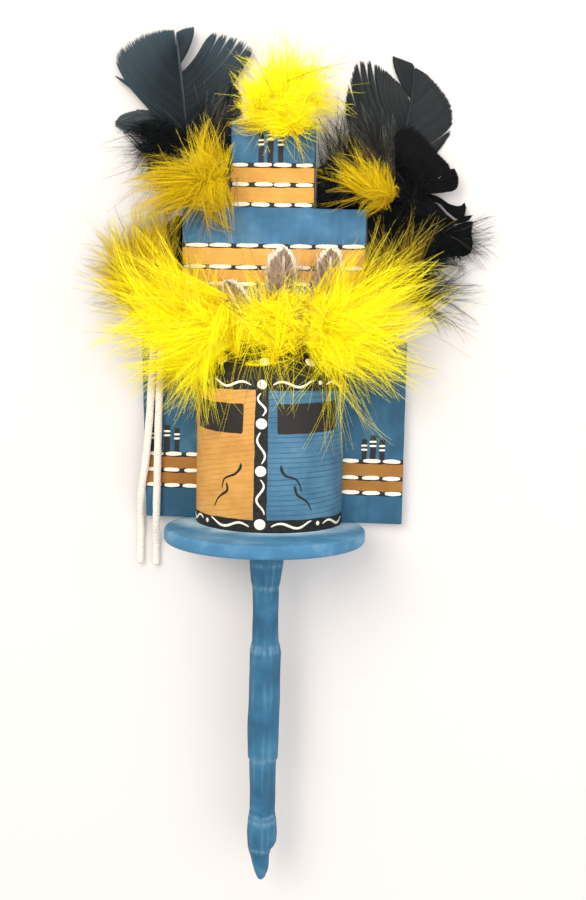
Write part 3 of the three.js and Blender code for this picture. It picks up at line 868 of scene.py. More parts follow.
@dataclass
class Tableta:
    """The stepped board behind the mask, sawn and sanded, with its painted cloud lines."""

    wing_top: float = 46
    foot_left: float = -52.8
    middle: tuple[float, float, float] = (-38.3, 37.9, 99.8)
    crown: tuple[float, float] = (-18.5, 16.2)
    edge: float = 0.55
    crown_lines: tuple[float, ...] = (116.9, 109.05, 101.0)
    middle_lines: tuple[float, ...] = (84.3, 75.5, 68.7)
    left_lines: tuple[float, ...] = (-3.2, -10.0, -16.5)
    right_lines: tuple[float, ...] = (-3.8, -10.9, -17.2)
    line_width: float = 2.05
    dash_width: float = 1.85

    def __post_init__(self) -> None:
        """Read the board's box."""
        self.low, self.high = box_mm("tableta")

    def outline(self) -> Array:
        """The stepped outline, with the slight unevenness of a hand saw."""
        left, right, top = self.middle
        corners = [
            (self.foot_left, self.low[1]), (self.high[0], self.low[1]), (self.high[0], self.wing_top),
            (right, self.wing_top), (right, top), (self.crown[1], top), (self.crown[1], self.high[1]),
            (self.crown[0], self.high[1]), (self.crown[0], top), (left, top), (left, self.wing_top),
            (self.low[0], self.wing_top),
        ]
        points = []
        for i, start in enumerate(corners):
            end = corners[(i + 1) % len(corners)]
            run = math.dist(start, end)
            steps = max(2, int(run / 4))
            normal = ((end[1] - start[1]) / run, (start[0] - end[0]) / run)
            for k in range(steps):
                t = k / steps
                stray = 0.13 * math.sin(math.pi * t) * math.sin(0.9 * k + 1.7 * i)
                points.append([start[j] + (end[j] - start[j]) * t - normal[j] * abs(stray) for j in (0, 1)])
        return np.array(points)

    def board(self) -> bpy.types.Object:
        """Cut the board and ease its edges."""
        outline = self.outline()
        count = len(outline)
        rings = [np.column_stack([outline, np.full(count, z)]) for z in (self.low[2], self.high[2])]
        made = mesh_object("stepped_board", np.vstack(rings), loft_faces(2, count))
        work = bmesh.new()
        work.from_mesh(made.data)
        bmesh.ops.recalc_face_normals(work, faces=work.faces)
        rim = [e for e in work.edges if e.calc_face_angle(0) > math.radians(50)]
        bmesh.ops.bevel(work, geom=rim, offset=self.edge * MM, segments=3, profile=0.6, affect="EDGES")
        work.to_mesh(made.data)
        work.free()
        tidy_normals(made, 28)
        bands = ((self.crown_lines[2], self.crown_lines[0]), (self.middle_lines[2], self.middle_lines[0]),
                 (self.right_lines[2], self.left_lines[0]))
        paint = BoardPaint(BOARD_BLUE, BOARD_ORANGE, bands).make()
        return dress(made, paint, "board_blue", "tableta")

    def face(self, x: Array, y: Array, lift: Array) -> Array:
        """Places on the board's front."""
        return np.column_stack([x, y, self.high[2] + lift])

    def steps(self) -> list[tuple[float, float, tuple[float, ...], int, int]]:
        """Each step's left, right, line heights, dash count and first dash's shift."""
        left, right, _ = self.middle
        return [
            (self.crown[0], self.crown[1], self.crown_lines, 4, 0),
            (left, right, self.middle_lines, 7, 1),
            (self.low[0] + 1.7, -29.5, self.left_lines, 3, 2),
            (29.5, self.high[0], self.right_lines, 3, 3),
        ]

    def bars(self) -> list[tuple[float, float, float, float]]:
        """Each upright rain bar's middle, foot, head and width."""
        sets = [(-6.0, -2.2, 2.05, self.crown_lines[0], 129.8, 131.9),
                (-50.4, -44.0, -39.7, self.left_lines[0], 8.2, 9.4),
                (39.5, 43.1, 46.9, self.right_lines[0], 5.7, 7.4)]
        found = []
        for first, second, third, foot, head, tall in sets:
            found += [(first, foot, head, 2.25), (second, foot, tall, 2.6), (third, foot, head, 2.25)]
        return found

    def brushwork(self) -> None:
        """Paint the black lines and bars, then the cream dashes and ticks over them."""
        black = Brushwork("board_black_lines", self.face, BLACK_PAINT.make(), "board_blue", 0.05, 5)
        cream = Brushwork("board_cream_dashes", self.face, WHITE_PAINT.make(), "board_blue", 0.13, 8)
        for left, right, heights, dashes, shift in self.steps():
            for row, y in enumerate(heights):
                black.mark(
                    [(left + 0.2, y + 0.1), ((left + right) / 2, y - 0.1), (right - 0.2, y)], self.line_width
                )
                pitch = (right - left) / dashes
                for k in range(dashes):
                    stray = cream.hand.normal(0, 0.35, 3)
                    middle = left + pitch * (k + 0.5) + stray[0] + 0.3 * math.sin(2.1 * row + shift)
                    half = pitch * 0.455 + 0.25 * stray[1]
                    tilt = 0.12 * stray[2]
                    ends = (max(middle - half, left + 0.35), min(middle + half, right - 0.3))
                    lift = 0.14 + 0.1 * math.sin(1.3 * k + row)
                    cream.mark(
                        [(ends[0], y + lift - tilt), (middle, y + lift), (ends[1], y + lift + tilt)],
                        self.dash_width * (1 + 0.06 * stray[1]), Tip.DASH, 0.07,
                    )
        for middle, foot, head, width in self.bars():
            black.mark([(middle, foot + 0.4), (middle + 0.1, head)], width, Tip.PATCH, 0.05)
            for k in (0, 1):
                y = head - 2.9 - 1.75 * k
                cream.mark(
                    [(middle - width * 0.62, y), (middle + width * 0.62, y + 0.1)], 1.0, Tip.DASH, 0.08
                )
        black.make()
        cream.make()

    def make(self) -> None:
        """Build the board and its paint."""
        self.board()
        self.brushwork()


@dataclass
class CaseMask:
    """The half-round case mask: its body, its sloping brow and its painted face."""

    chamfer: float = 12
    round_over: float = 0.7
    sides: int = 120
    stripe: tuple[float, float] = (-3.15, 2.2)
    top_band: float = 26.3
    foot_band: float = -24.9

    def __post_init__(self) -> None:
        """Read the mask's box."""
        self.low, self.high = box_mm("case_mask")
        self.back = self.low[2]
        self.radius = self.high[2] - self.back
        self.rim = self.high[1] - self.chamfer

    def profile(self) -> list[Point]:
        """Radius and height up the mask, with its edges eased."""
        r, e, foot = self.radius, self.round_over, self.low[1]
        top = r - self.chamfer
        return [
            (r - 0.3, foot), (r, foot + 0.3), (r, (foot + self.rim) / 2), (r, self.rim - e),
            (r - 0.08 * e, self.rim - 0.35 * e), (r - 0.4 * e, self.rim + 0.25 * e), (r - e, self.rim + e),
            (top + e, self.high[1] - e), (top, self.high[1] - 0.2), (top - 0.8, self.high[1]),
        ]

    def body(self) -> bpy.types.Object:
        """Turn the half round and close its back and ends."""
        angles = np.linspace(-math.pi / 2, math.pi / 2, self.sides + 1)
        rings = [
            np.column_stack([r * np.sin(angles), np.full(len(angles), y), self.back + r * np.cos(angles)])
            for r, y in self.profile()
        ]
        made = mesh_object("half_round_mask", np.vstack(rings), loft_faces(len(rings), self.sides + 1))
        tidy_normals(made, 30)
        paint = MaskPaint(MASK_BLUE, MASK_ORANGE, "#171616", self.back, self.radius, self.stripe,
                          self.top_band, self.foot_band)
        return dress(made, paint.make(), "mask_paint", "case_mask")

    def wall(self, s: Array, y: Array, lift: Array) -> Array:
        """Places on the round wall, by distance round from the middle and height."""
        angle = s / self.radius
        r = self.radius + lift
        return np.column_stack([r * np.sin(angle), y, self.back + r * np.cos(angle)])

    def slope(self, s: Array, up: Array, lift: Array) -> Array:
        """Places on the sloping brow, by distance round at mid slope and distance up it."""
        r = self.radius - up * math.sqrt(0.5)
        angle = s / (self.radius - self.chamfer / 2)
        out = lift * math.sqrt(0.5)
        return np.column_stack(
            [
                (r + out) * np.sin(angle), self.rim + up * math.sqrt(0.5) + out,
                self.back + (r + out) * np.cos(angle)
            ]
        )

    def wave(
        self, work: Brushwork, start: Point, end: Point, swing: float, turns: float, width: float
    ) -> None:
        """Paint a wavy line between two points.

        Args:
            work: the brushwork that it joins.
            start: where it starts.
            end: where it ends.
            swing: how far it swings to each side.
            turns: how many half waves it has; negative starts to the other side.
            width: its width.
        """
        t = np.linspace(0, 1, 15)
        run = np.array(end) - np.array(start)
        side = np.array([-run[1], run[0]]) / np.linalg.norm(run)
        sway = swing * np.sin(math.pi * abs(turns) * t) * math.copysign(1, turns)
        line = np.array(start) + run * t[:, None] + side * sway[:, None]
        work.mark([tuple(p) for p in line], width, Tip.DASH, 0.08)

    def brushwork(self) -> None:
        """Paint the eyes and squiggles, then the cream dots and waves on the black bands."""
        eyes = Brushwork("mask_eyes", self.wall, EYE_PAINT.make(), "mask_paint", 0.05, 11)
        eyes.mark([(-34.6, 16.2), (-21, 15.2), (-7.7, 14.9)], 12.4, Tip.PATCH, 0.012)
        eyes.mark([(5.6, 15.1), (20, 15.5), (34.6, 16.4)], 12.5, Tip.PATCH, 0.012)
        eyes.make()

        black = Brushwork("mask_squiggles", self.wall, BLACK_PAINT.make(), "mask_paint", 0.06, 12)
        squiggles = [
            [(-8.7, -2.4), (-8.9, -4.6), (-11.0, -7.0), (-14.2, -8.2), (-16.3, -9.7), (-17.4, -13.8)],
            [(-15.1, -10.6), (-14.6, -13.8), (-17.1, -15.7), (-19.4, -17.5), (-21.5, -21.4)],
            [(7.6, -2.8), (8.0, -5.2), (9.6, -7.3), (12.2, -8.0), (14.4, -9.2), (16.5, -14.0)],
            [(13.1, -10.9), (14.4, -14.8), (16.9, -16.5), (19.2, -18.2), (21.1, -21.8)],
        ]
        for line in squiggles:
            black.mark(line, 1.35, Tip.TAPER, 0.1)
        black.make()

        cream = Brushwork("mask_cream_marks", self.wall, WHITE_PAINT.make(), "mask_paint", 0.13, 13)
        middle = sum(self.stripe) / 2
        for y, across in ((28.6, 3.9), (13.2, 4.5), (-5.5, 4.5), (-26.6, 4.6)):
            cream.mark([(middle - across / 2, y), (middle + across / 2, y)], across, Tip.DOT, 0.02)
        for s, y in ((-26.0, 29.2), (24.0, 29.5), (-26.0, -27.2), (24.4, -26.8)):
            cream.mark([(s - 0.9, y), (s + 0.9, y)], 1.9, Tip.DOT, 0.05)
        for low, high, turns in ((16.2, 25.4, -2), (-2.7, 10.0, -2), (-23.0, -8.6, 2.6)):
            self.wave(cream, (middle - 0.2, high), (middle + 0.2, low), 1.5, turns, 0.95)
        for y, left, right in ((28.9, (-22.4, -4.6), (3.6, 21.0)), (-27.0, (-23.6, -4.6), (3.8, 21.4))):
            self.wave(cream, (left[1], y - 0.8), (left[0], y + 0.5), 1.2, -2.4, 1.05)
            self.wave(cream, (right[0], y - 0.6), (right[1], y + 0.4), 1.2, 2.4, 1.05)
            self.wave(cream, (-29.0, y), (-43.5, y), 1.2, -2.2, 1.05)
            self.wave(cream, (27.0, y - 0.4), (43.5, y), 1.2, 2.2, 1.05)
        cream.make()

        ovals = Brushwork("brow_cream_ovals", self.slope, WHITE_PAINT.make(), "mask_paint", 0.13, 14)
        for k in range(-2, 3):
            s = middle + 19.4 * k
            ovals.mark([(s - 2.3, 8.2), (s + 2.3, 8.2)], 4.4, Tip.DOT, 0.03)
        ovals.make()

    def make(self) -> None:
        """Build the mask and its paint."""
        self.body()
        self.brushwork()


@dataclass
class ChinDisc:
    """The disc that the mask stands on, cut flat behind and sanded round at its rim."""

    corner: float = 4
    round_over: float = 1.3
    sides: int = 150

    def __post_init__(self) -> None:
        """Read the disc's box."""
        self.low, self.high = box_mm("chin_disc")
        self.radius = (self.high[0] - self.low[0]) / 2
        self.depth = self.high[2] - self.radius

    def ring(self, y: float, inset: float) -> Array:
        """One outline across the disc's thickness.

        Args:
            y: where the outline lies along Y.
            inset: how far it stands in from the rim.

        Returns:
            Its points in order round the disc.
        """
        r, bend = self.radius - inset, self.corner - inset
        corner_x = math.sqrt((r - bend) ** 2 - (self.depth - self.corner) ** 2)
        start = math.atan2(self.corner - self.depth, corner_x)
        arc = np.linspace(start, math.pi - start, self.sides)
        left = np.linspace(math.pi - start, 1.5 * math.pi, 8)[1:]
        right = np.linspace(-math.pi / 2, start, 8)[:-1]
        x = np.concatenate(
            [r * np.cos(arc), -corner_x + bend * np.cos(left), corner_x + bend * np.cos(right)]
        )
        z = np.concatenate([self.depth + r * np.sin(arc), self.corner + bend * np.sin(left),
                            self.corner + bend * np.sin(right)])
        return np.column_stack([x, np.full(len(x), y), z])

    def make(self) -> bpy.types.Object:
        """Build the disc."""
        foot, top, e = self.low[1], self.high[1], self.round_over
        turn = np.linspace(0, math.pi / 2, 6)
        lower = [(foot + e - e * math.cos(a), e - e * math.sin(a)) for a in turn]
        upper = [(top - e + e * math.sin(a), e - e * math.cos(a)) for a in turn]
        rings = [self.ring(y, inset) for y, inset in [*lower, *upper]]
        made = mesh_object("chin_disc_body", np.vstack(rings), loft_faces(len(rings), len(rings[0])))
        tidy_normals(made, 40)
        return dress(made, DISC_BLUE.make(), "disc_blue", "chin_disc")


@dataclass
class WandHandle:
    """The whittled handle, whose knife flats run down it from the neck to the chipped tip."""

    centre_x: float = 1.0
    depth: float = 21.7
    flats: int = 10
    across_flat: int = 5
    step: float = 1.1
    stations: tuple[tuple[float, float, float], ...] = (
        (-35.5, 7.4, 7.2), (-45.4, 7.1, 6.9), (-52.5, 6.2, 6.0), (-55.0, 5.5, 5.5), (-66.0, 5.3, 5.3),
        (-77.6, 5.5, 5.4), (-79.6, 6.0, 5.9), (-82.0, 6.5, 6.3), (-97.0, 6.6, 6.3), (-112.0, 6.75, 6.4),
        (-127.4, 6.4, 6.1), (-128.4, 5.75, 5.6), (-140.0, 5.4, 5.4), (-151.2, 5.4, 5.4), (-155.0, 6.1, 5.8),
        (-161.0, 6.4, 6.0), (-167.0, 6.0, 5.6), (-171.0, 4.6, 4.6), (-177.2, 2.9, 3.2), (-180.4, 1.6, 1.9),
        (-181.4, 0.5, 0.6),
    )

    def ring(self, y: float, wide: float, deep: float) -> Array:
        """One section: a polygon of flats with its corners just taken off.

        Args:
            y: where the section lies along Y.
            wide: its half width.
            deep: its half depth.

        Returns:
            Its points in order round the handle.
        """
        points = []
        for j in range(self.flats):
            begin = self.corner(j, y)
            end = self.corner(j + 1, y)
            for k in range(self.across_flat):
                t = 0.07 + 0.86 * k / (self.across_flat - 1)
                points.append(((1 - t) * begin[0] + t * end[0], (1 - t) * begin[1] + t * end[1]))
        flat = np.array(points)
        return np.column_stack(
            [self.centre_x + wide * flat[:, 0], np.full(len(flat), y), self.depth + deep * flat[:, 1]]
        )

    def corner(self, j: int, y: float) -> Point:
        """A flat's corner on the unit section; each knife cut strays a little down its length."""
        j = j % self.flats
        angle = (
            2 * math.pi * (j + 0.5) / self.flats + 0.12 * math.sin(2.3 * j)
            + 0.05 * math.sin(0.11 * y + 2 * j)
        )
        reach = 1 + 0.025 * math.sin(1.7 * j + 0.09 * y) + 0.012 * math.sin(0.31 * y + 3 * j)
        return reach * math.cos(angle), reach * math.sin(angle)

    def carve(self, points: Array) -> Array:
        """Press in the knife notch above the foot and the split beside the tip."""
        cut = points.copy()
        x, y, z = cut.T
        notch = (
            np.exp(-((y + 152.4 - 0.10 * (x - 3) ** 2) / 0.9) ** 2)
            * (np.abs(x - 3.2) < 3.4) * (z > self.depth)
        )
        cut[:, 2] -= 1.1 * notch
        split = np.clip((x - 4.2) / 1.2, 0, 1) * np.clip((-165.6 - y) / 0.8, 0, 1)
        cut[:, 0] -= 1.3 * split
        return cut

    def paler_marks(self, heights: Array) -> Array:
        """How much paler the paint is: along the flats' corners and round the knife steps."""
        place = np.arange(self.flats * self.across_flat) % self.across_flat
        corner = np.isin(place, (0, self.across_flat - 1)) * 1.0
        patch = np.clip(0.5 + 0.5 * np.sin(0.23 * heights + 1.3 * np.sin(0.07 * heights)), 0, 1)
        steps = np.array([-45.4, -55, -79.6, -81.5, -127.9, -152.5, -155, -167])
        rim = np.exp(-((heights[:, None] - steps) / 0.8) ** 2).max(axis=1)
        paler_share = np.clip(corner * patch[:, None] * 0.2 + rim[:, None] * 0.45, 0, 1)
        return paler_share.astype(np.float32).ravel()

    def make(self) -> bpy.types.Object:
        """Build the handle."""
        table = np.array(self.stations)
        count = int((table[0, 0] - table[-1, 0]) / self.step)
        heights = np.unique(
            np.concatenate([np.linspace(table[0, 0], table[-1, 0], count), table[:, 0]])
        )[::-1]
        wide = np.interp(-heights, -table[:, 0], table[:, 1])
        deep = np.interp(-heights, -table[:, 0], table[:, 2])
        rings = [self.ring(y, a, b) for y, a, b in zip(heights, wide, deep, strict=True)]
        points = self.carve(np.vstack(rings))
        made = mesh_object("whittled_handle", points, loft_faces(len(rings), len(rings[0])))
        made.data.attributes.new("paler_share", "FLOAT", "POINT").data.foreach_set("value", self.paler_marks(heights))
        tidy_normals(made, 17)
        return dress(made, HANDLE_BLUE.make(), "handle_blue", "wand_handle")


# ---------------------------------------------------------------------------------------------------
# laces
# ---------------------------------------------------------------------------------------------------


@dataclass
class Lace:
    """One sueded lace that leaves the left plume, runs down the wing and lies on the table."""

    node: str
    route: list[tuple[float, float, float]]
    diameter: float = 3.2
    sides: int = 14
    steps: int = 190

    def centre_line(self) -> Array:
        """The lace's centre line at even steps."""
        return spline(self.route, self.steps)

    def make(self, hide: bpy.types.Material) -> bpy.types.Object:
        """Args:
            hide: the lace's material.

        Returns:
            The lace.
        """
        line = self.centre_line()
        along = np.gradient(line, axis=0)
        along /= np.linalg.norm(along, axis=1)[:, None]
        side = np.cross(along, (0, 0, 1))
        side /= np.linalg.norm(side, axis=1)[:, None]
        up = np.cross(side, along)
        hand = np.random.default_rng(len(self.node))
        turn = np.linspace(0, 2 * math.pi, self.sides, endpoint=False)
        rings = []
        for i, centre in enumerate(line):
            nap = hand.normal(0, 0.022, self.sides)
            swell = 1 + 0.03 * math.sin(0.21 * i) + nap
            radius = self.diameter / 2 * swell[:, None]
            rings.append(
                centre + radius * (np.cos(turn)[:, None] * side[i] + np.sin(turn)[:, None] * up[i] * 0.93)
            )
        made = mesh_object(self.node + "_hide", np.vstack(rings), loft_faces(len(rings), self.sides))
        tidy_normals(made, None)
        dress(made, hide, "white_lace", self.node)
        return made


LACES = (
    Lace("lace_left", [
        (-49.4, 42.7, 7.95), (-50.3, 28, 7.95), (-51.1, 13, 7.95), (-52.2, -1, 7.9), (-53, -8.5, 7.9),
        (-54, -15, 7.5), (-54.9, -21, 6.2), (-55.6, -27, 4.2), (-55.9, -33, 2.3), (-56, -38.5, 1.65),
        (-56.3, -51.1, 1.65),
    ]),
    Lace("lace_right", [
        (-46.2, 42.8, 7.95), (-46.8, 28, 7.95), (-47.3, 12, 7.95), (-47.5, -2.5, 7.95), (-47.7, -15.5, 7.95),
        (-47.9, -28.3, 7.95), (-48.2, -34, 6.5), (-48.8, -38.6, 3.7), (-49.2, -42.8, 1.9),
        (-49.3, -51.6, 1.65),
    ]),
)


# ---------------------------------------------------------------------------------------------------
# strands: down and vanes grown along guide lines
# ---------------------------------------------------------------------------------------------------


class Growth(Enum):
    """What grows along each guide line."""

    DOWN = "barbed down"
    VANE = "close vane"


def strand_tree(growth: Growth) -> bpy.types.NodeTree:
    """Build the node tree that turns guide lines into feather barbs.

    Args:
        growth: loose down gets a fine stem with a pair of barbules at every step; a vane gets one
            ridged ribbon that lies flat.

    Returns:
        The tree, whose named inputs are its sizes in metres, its angle, seed and material.
    """
    tree = bpy.data.node_groups.new(growth.value, "GeometryNodeTree")
    for name, kind in (
        ("Guides", "NodeSocketGeometry"), ("Stem Width", "NodeSocketFloat"), ("Tip Share", "NodeSocketFloat"),
        ("Barbule Length", "NodeSocketFloat"), ("Barbule Width", "NodeSocketFloat"),
        ("Barbule Step", "NodeSocketFloat"), ("Barbule Angle", "NodeSocketFloat"), ("Seed", "NodeSocketInt"),
        ("Material", "NodeSocketMaterial"),
    ):
        tree.interface.new_socket(name, in_out="INPUT", socket_type=kind)
    tree.interface.new_socket("Barbs", in_out="OUTPUT", socket_type="NodeSocketGeometry")
    given = add_node(tree, GIVEN).outputs
    along, size = add_node(tree, NAMED, "along"), add_node(tree, NAMED, "size")
    curves = add_node(tree, CURVES, given["Guides"])
    fall = add_node(tree, POWER, along, 1.0 if growth is Growth.DOWN else 12.0)
    width = add_node(tree, REMAP, fall, To_Min=given["Stem Width"], To_Max=given["Tip Share"])
    sized = add_node(tree, MULTIPLY, width, size)
    if growth is Growth.VANE:
        curves = add_node(tree, UPRIGHT, curves)
        arch = add_node(tree, ARCH, 2, (-0.5, 0, 0), (-0.2, 0.3, 0), (0.2, 0.3, 0), (0.5, 0, 0))
        grown = add_node(tree, SWEEP, curves, arch, sized)
    else:
        flat = add_node(tree, LINE, (-0.5, 0, 0), (0.5, 0, 0))
        stems = add_node(tree, SWEEP, curves, flat, sized)
        grown = feed(add_node(tree, JOIN, barbules(tree, given, curves, along, size)), stems)
    real = add_node(tree, REALIZE, grown)
    add_node(tree, RESULT, Barbs=add_node(tree, MATERIAL, real, Material=given["Material"]))
    return tree


def barbules(
    tree: bpy.types.NodeTree, given: bpy.types.bpy_prop_collection, curves: bpy.types.Node,
    along: bpy.types.Node,
    size: bpy.types.Node,
) -> bpy.types.Node:
    """Set a pair of slender barbules at every step along each stem.

    Args:
        tree: the tree being built.
        given: its inputs.
        curves: the stems.
        along: each point's share of the way from root to tip.
        size: each point's scale.

    Returns:
        The barbules as instances.
    """
    blade = add_node(tree, BLADE, 3, 2 / 3)
    blade_scale = add_node(tree, COMBINE, given["Barbule Length"], given["Barbule Width"], 1.0)
    rooted = add_node(tree, TRANSFORM, blade, (1 / 3, 0, 0))
    sized = add_node(tree, TRANSFORM, rooted, Scale=blade_scale)
    pair = add_node(tree, JOIN)
    for side in (1, -1):
        lean = add_node(tree, MULTIPLY_ADD, given["Barbule Angle"], float(side), -math.pi / 2)
        turn = add_node(tree, TURN, (0, 1, 0), lean)
        feed(pair, add_node(tree, TRANSFORM, sized, Rotation=turn))
    points = add_node(tree, STATIONS, curves, given["Barbule Step"])
    roll = add_node(tree, RANDOM, 0.0, 2 * math.pi, Seed=given["Seed"])
    spin = add_node(tree, TURN, (0, 0, 1), roll)
    turned = add_node(tree, ROTATE, points.outputs["Rotation"], spin)
    vary = add_node(tree, RANDOM, 0.55, 1.15, Seed=given["Seed"])
    thin = add_node(tree, REMAP, along, 0.55, 1.0, 1.0, 0.3)
    scale = add_node(tree, MULTIPLY, add_node(tree, MULTIPLY, vary, thin), size)
    return add_node(tree, SET_ON, points, Instance=pair, Rotation=turned, Scale=scale)


@dataclass
class Strands:
    """Guide lines that share one growth, gathered and then grown into one plain mesh."""

    name: str
    growth: Growth
    stem: float
    tip: float
    barbule: float = 2.4
    barbule_width: float = 0.2
    step: float = 1.1
    angle: float = 32
    seed: int = 1
    lines: list[Array] = field(default_factory=list)
    tints: list[float] = field(default_factory=list)
    sizes: list[float] = field(default_factory=list)

    trees: ClassVar[dict[Growth, bpy.types.NodeTree]] = {}

    def add(self, line: Array, tint: float, size: float = 1.0) -> None:
        """Add one guide line.

        Args:
            line: its points from root to tip, in millimetres.
            tint: its tint from 0 to 1: the dye's shade, which plume locks lower as painted shade.
            size: its thickness against the others.
        """
        self.lines.append(line)
        self.tints.append(tint)
        self.sizes.append(size)

    def guides(self) -> bpy.types.Object:
        """The guide lines as a mesh of loose edges that carries along, tint and size."""
        counts = np.array([len(line) for line in self.lines])
        starts = np.concatenate([[0], np.cumsum(counts)])
        edges = [(a, a + 1) for s, n in zip(starts[:-1], counts, strict=True) for a in range(s, s + n - 1)]
        mesh = bpy.data.meshes.new("guide_lines")
        mesh.from_pydata((np.vstack(self.lines) * MM).tolist(), edges, [])
        along = np.concatenate([np.linspace(0, 1, n) for n in counts])
        for key, values in (
            ("along", along), ("tint", np.repeat(self.tints, counts)), ("size", np.repeat(self.sizes, counts))
        ):
            mesh.attributes.new(key, "FLOAT", "POINT").data.foreach_set("value", values.astype(np.float32))
        made = bpy.data.objects.new("guide_lines", mesh)
        bpy.context.scene.collection.objects.link(made)
        return made

    def grow(self, material: bpy.types.Material, centre: Sequence[float] | None = None) -> bpy.types.Object:
        """Grow the barbs and return them as a plain mesh.

        Args:
            material: what they are made of.
            centre: the middle of the tuft in millimetres; its barbs are lit as one soft dome round it.

        Returns:
            The piece.
        """
        if self.growth not in self.trees:
            self.trees[self.growth] = strand_tree(self.growth)
        tree = self.trees[self.growth]
        guides = self.guides()
        growing = guides.modifiers.new("grow", "NODES")
        growing.node_group = tree
        values = {
            "Stem Width": self.stem * MM, "Tip Share": self.tip * MM, "Barbule Length": self.barbule * MM,
            "Barbule Width": self.barbule_width * MM, "Barbule Step": self.step * MM,
            "Barbule Angle": math.radians(self.angle), "Seed": self.seed, "Material": material,
        }
        for item in tree.interface.items_tree:
            if item.in_out == "INPUT" and item.name in values:
                growing[item.identifier] = values[item.name]
        grown = bpy.data.meshes.new_from_object(guides.evaluated_get(bpy.context.evaluated_depsgraph_get()))
        guides.modifiers.clear()
        made = bpy.data.objects.new(self.name, grown)
        bpy.context.scene.collection.objects.link(made)
        bpy.data.objects.remove(guides)
        made.data.shade_smooth()
        if centre is not None:
            self.dome_light(made.data, np.array(centre, float))
        log.info("%s has %d strands and %d faces", self.name, len(self.lines), len(made.data.polygons))
        return made

    @staticmethod
    def dome_light(mesh: bpy.types.Mesh, centre: Array) -> None:
        """Turn the strands' shading normals out from the tuft, so that it takes light as one soft body.

        Args:
            mesh: the strands.
            centre: the tuft's middle in millimetres.
        """
        places = np.empty(len(mesh.vertices) * 3, np.float32)
        mesh.vertices.foreach_get("co", places)
        out = places.reshape(-1, 3) / MM - centre
        out /= np.maximum(np.linalg.norm(out, axis=1), 1e-6)[:, None]
        out = out * 0.55 + np.array([0, 0, 1.0])
        out /= np.linalg.norm(out, axis=1)[:, None]
        normals = np.empty(len(mesh.polygons) * 3, np.float32)
        mesh.polygons.foreach_get("normal", normals)
        corner = np.empty(len(mesh.polygons), np.int32)
        mesh.polygons.foreach_get("loop_start", corner)
        first = np.empty(len(mesh.loops), np.int32)
        mesh.loops.foreach_get("vertex_index", first)
        facing = np.einsum("ij,ij->i", normals.reshape(-1, 3), out[first[corner]])
        work = bmesh.new()
        work.from_mesh(mesh)
        work.faces.ensure_lookup_table()
        bmesh.ops.reverse_faces(work, faces=[work.faces[i] for i in np.flatnonzero(facing < 0)])
        work.to_mesh(mesh)
        work.free()
        mesh.normals_split_custom_set_from_vertices(out.tolist())


@dataclass
class Obstacles:
    """The wood that down lies on: strands are lifted clear of it."""

    tableta: Tableta
    mask: CaseMask

    def surface(self, x: Array, y: Array) -> Array:
        """The height of what lies under each place.

        Args:
            x: the places along X.
            y: the places along Y.

        Returns:
            The height at each place, a little above the wood or the table.
        """
        ground = np.full(x.shape, 1.5)
        left, right, top = self.tableta.middle
        crown_left, crown_right = self.tableta.crown
        board = self.tableta
        on_board = (
            (
                (y < board.wing_top + 0.8) & (y > board.low[1])
                & (x > board.low[0] - 0.8) & (x < board.high[0] + 0.8)
            )
            | ((y < top + 0.8) & (x > left - 0.8) & (x < right + 0.8) & (y > 0))
            | ((y < board.high[1] + 0.8) & (x > crown_left - 0.8) & (x < crown_right + 0.8) & (y > 0))
        )
        ground[on_board] = board.high[2] + 0.35
        mask = self.mask
        reach = mask.radius + 0.45 - np.clip(y - mask.rim, 0, None)
        over = (np.abs(x) < reach) & (y > mask.low[1]) & (y < mask.high[1] + 0.5)
        ground[over] = mask.back + np.sqrt(np.maximum(reach[over] ** 2 - x[over] ** 2, 0))
        return ground

    def trim(self, line: Array) -> Array:
        """End a line where it would cross onto the wood, for down that is glued behind the board."""
        over = np.flatnonzero(self.surface(line[:, 0], line[:, 1]) > 2)
        return line if not len(over) else line[: max(2, over[0])] if over[0] > 0 else line[:0]

    def clear(self, line: Array) -> Array:
        """Lift a line off the wood and the table, with the bend spread over its neighbours.

        Args:
            line: its points, root first.

        Returns:
            The lifted points.
        """
        lifted = line.copy()
        for _ in range(3):
            need = self.surface(lifted[:, 0], lifted[:, 1]) - lifted[:, 2]
            raised = np.maximum(need, 0)
            spread = raised.copy()
            spread[1:-1] = np.maximum(raised[1:-1], (raised[:-2] + raised[2:]) / 2 * 0.8)
            lifted[:, 2] += spread
        return lifted


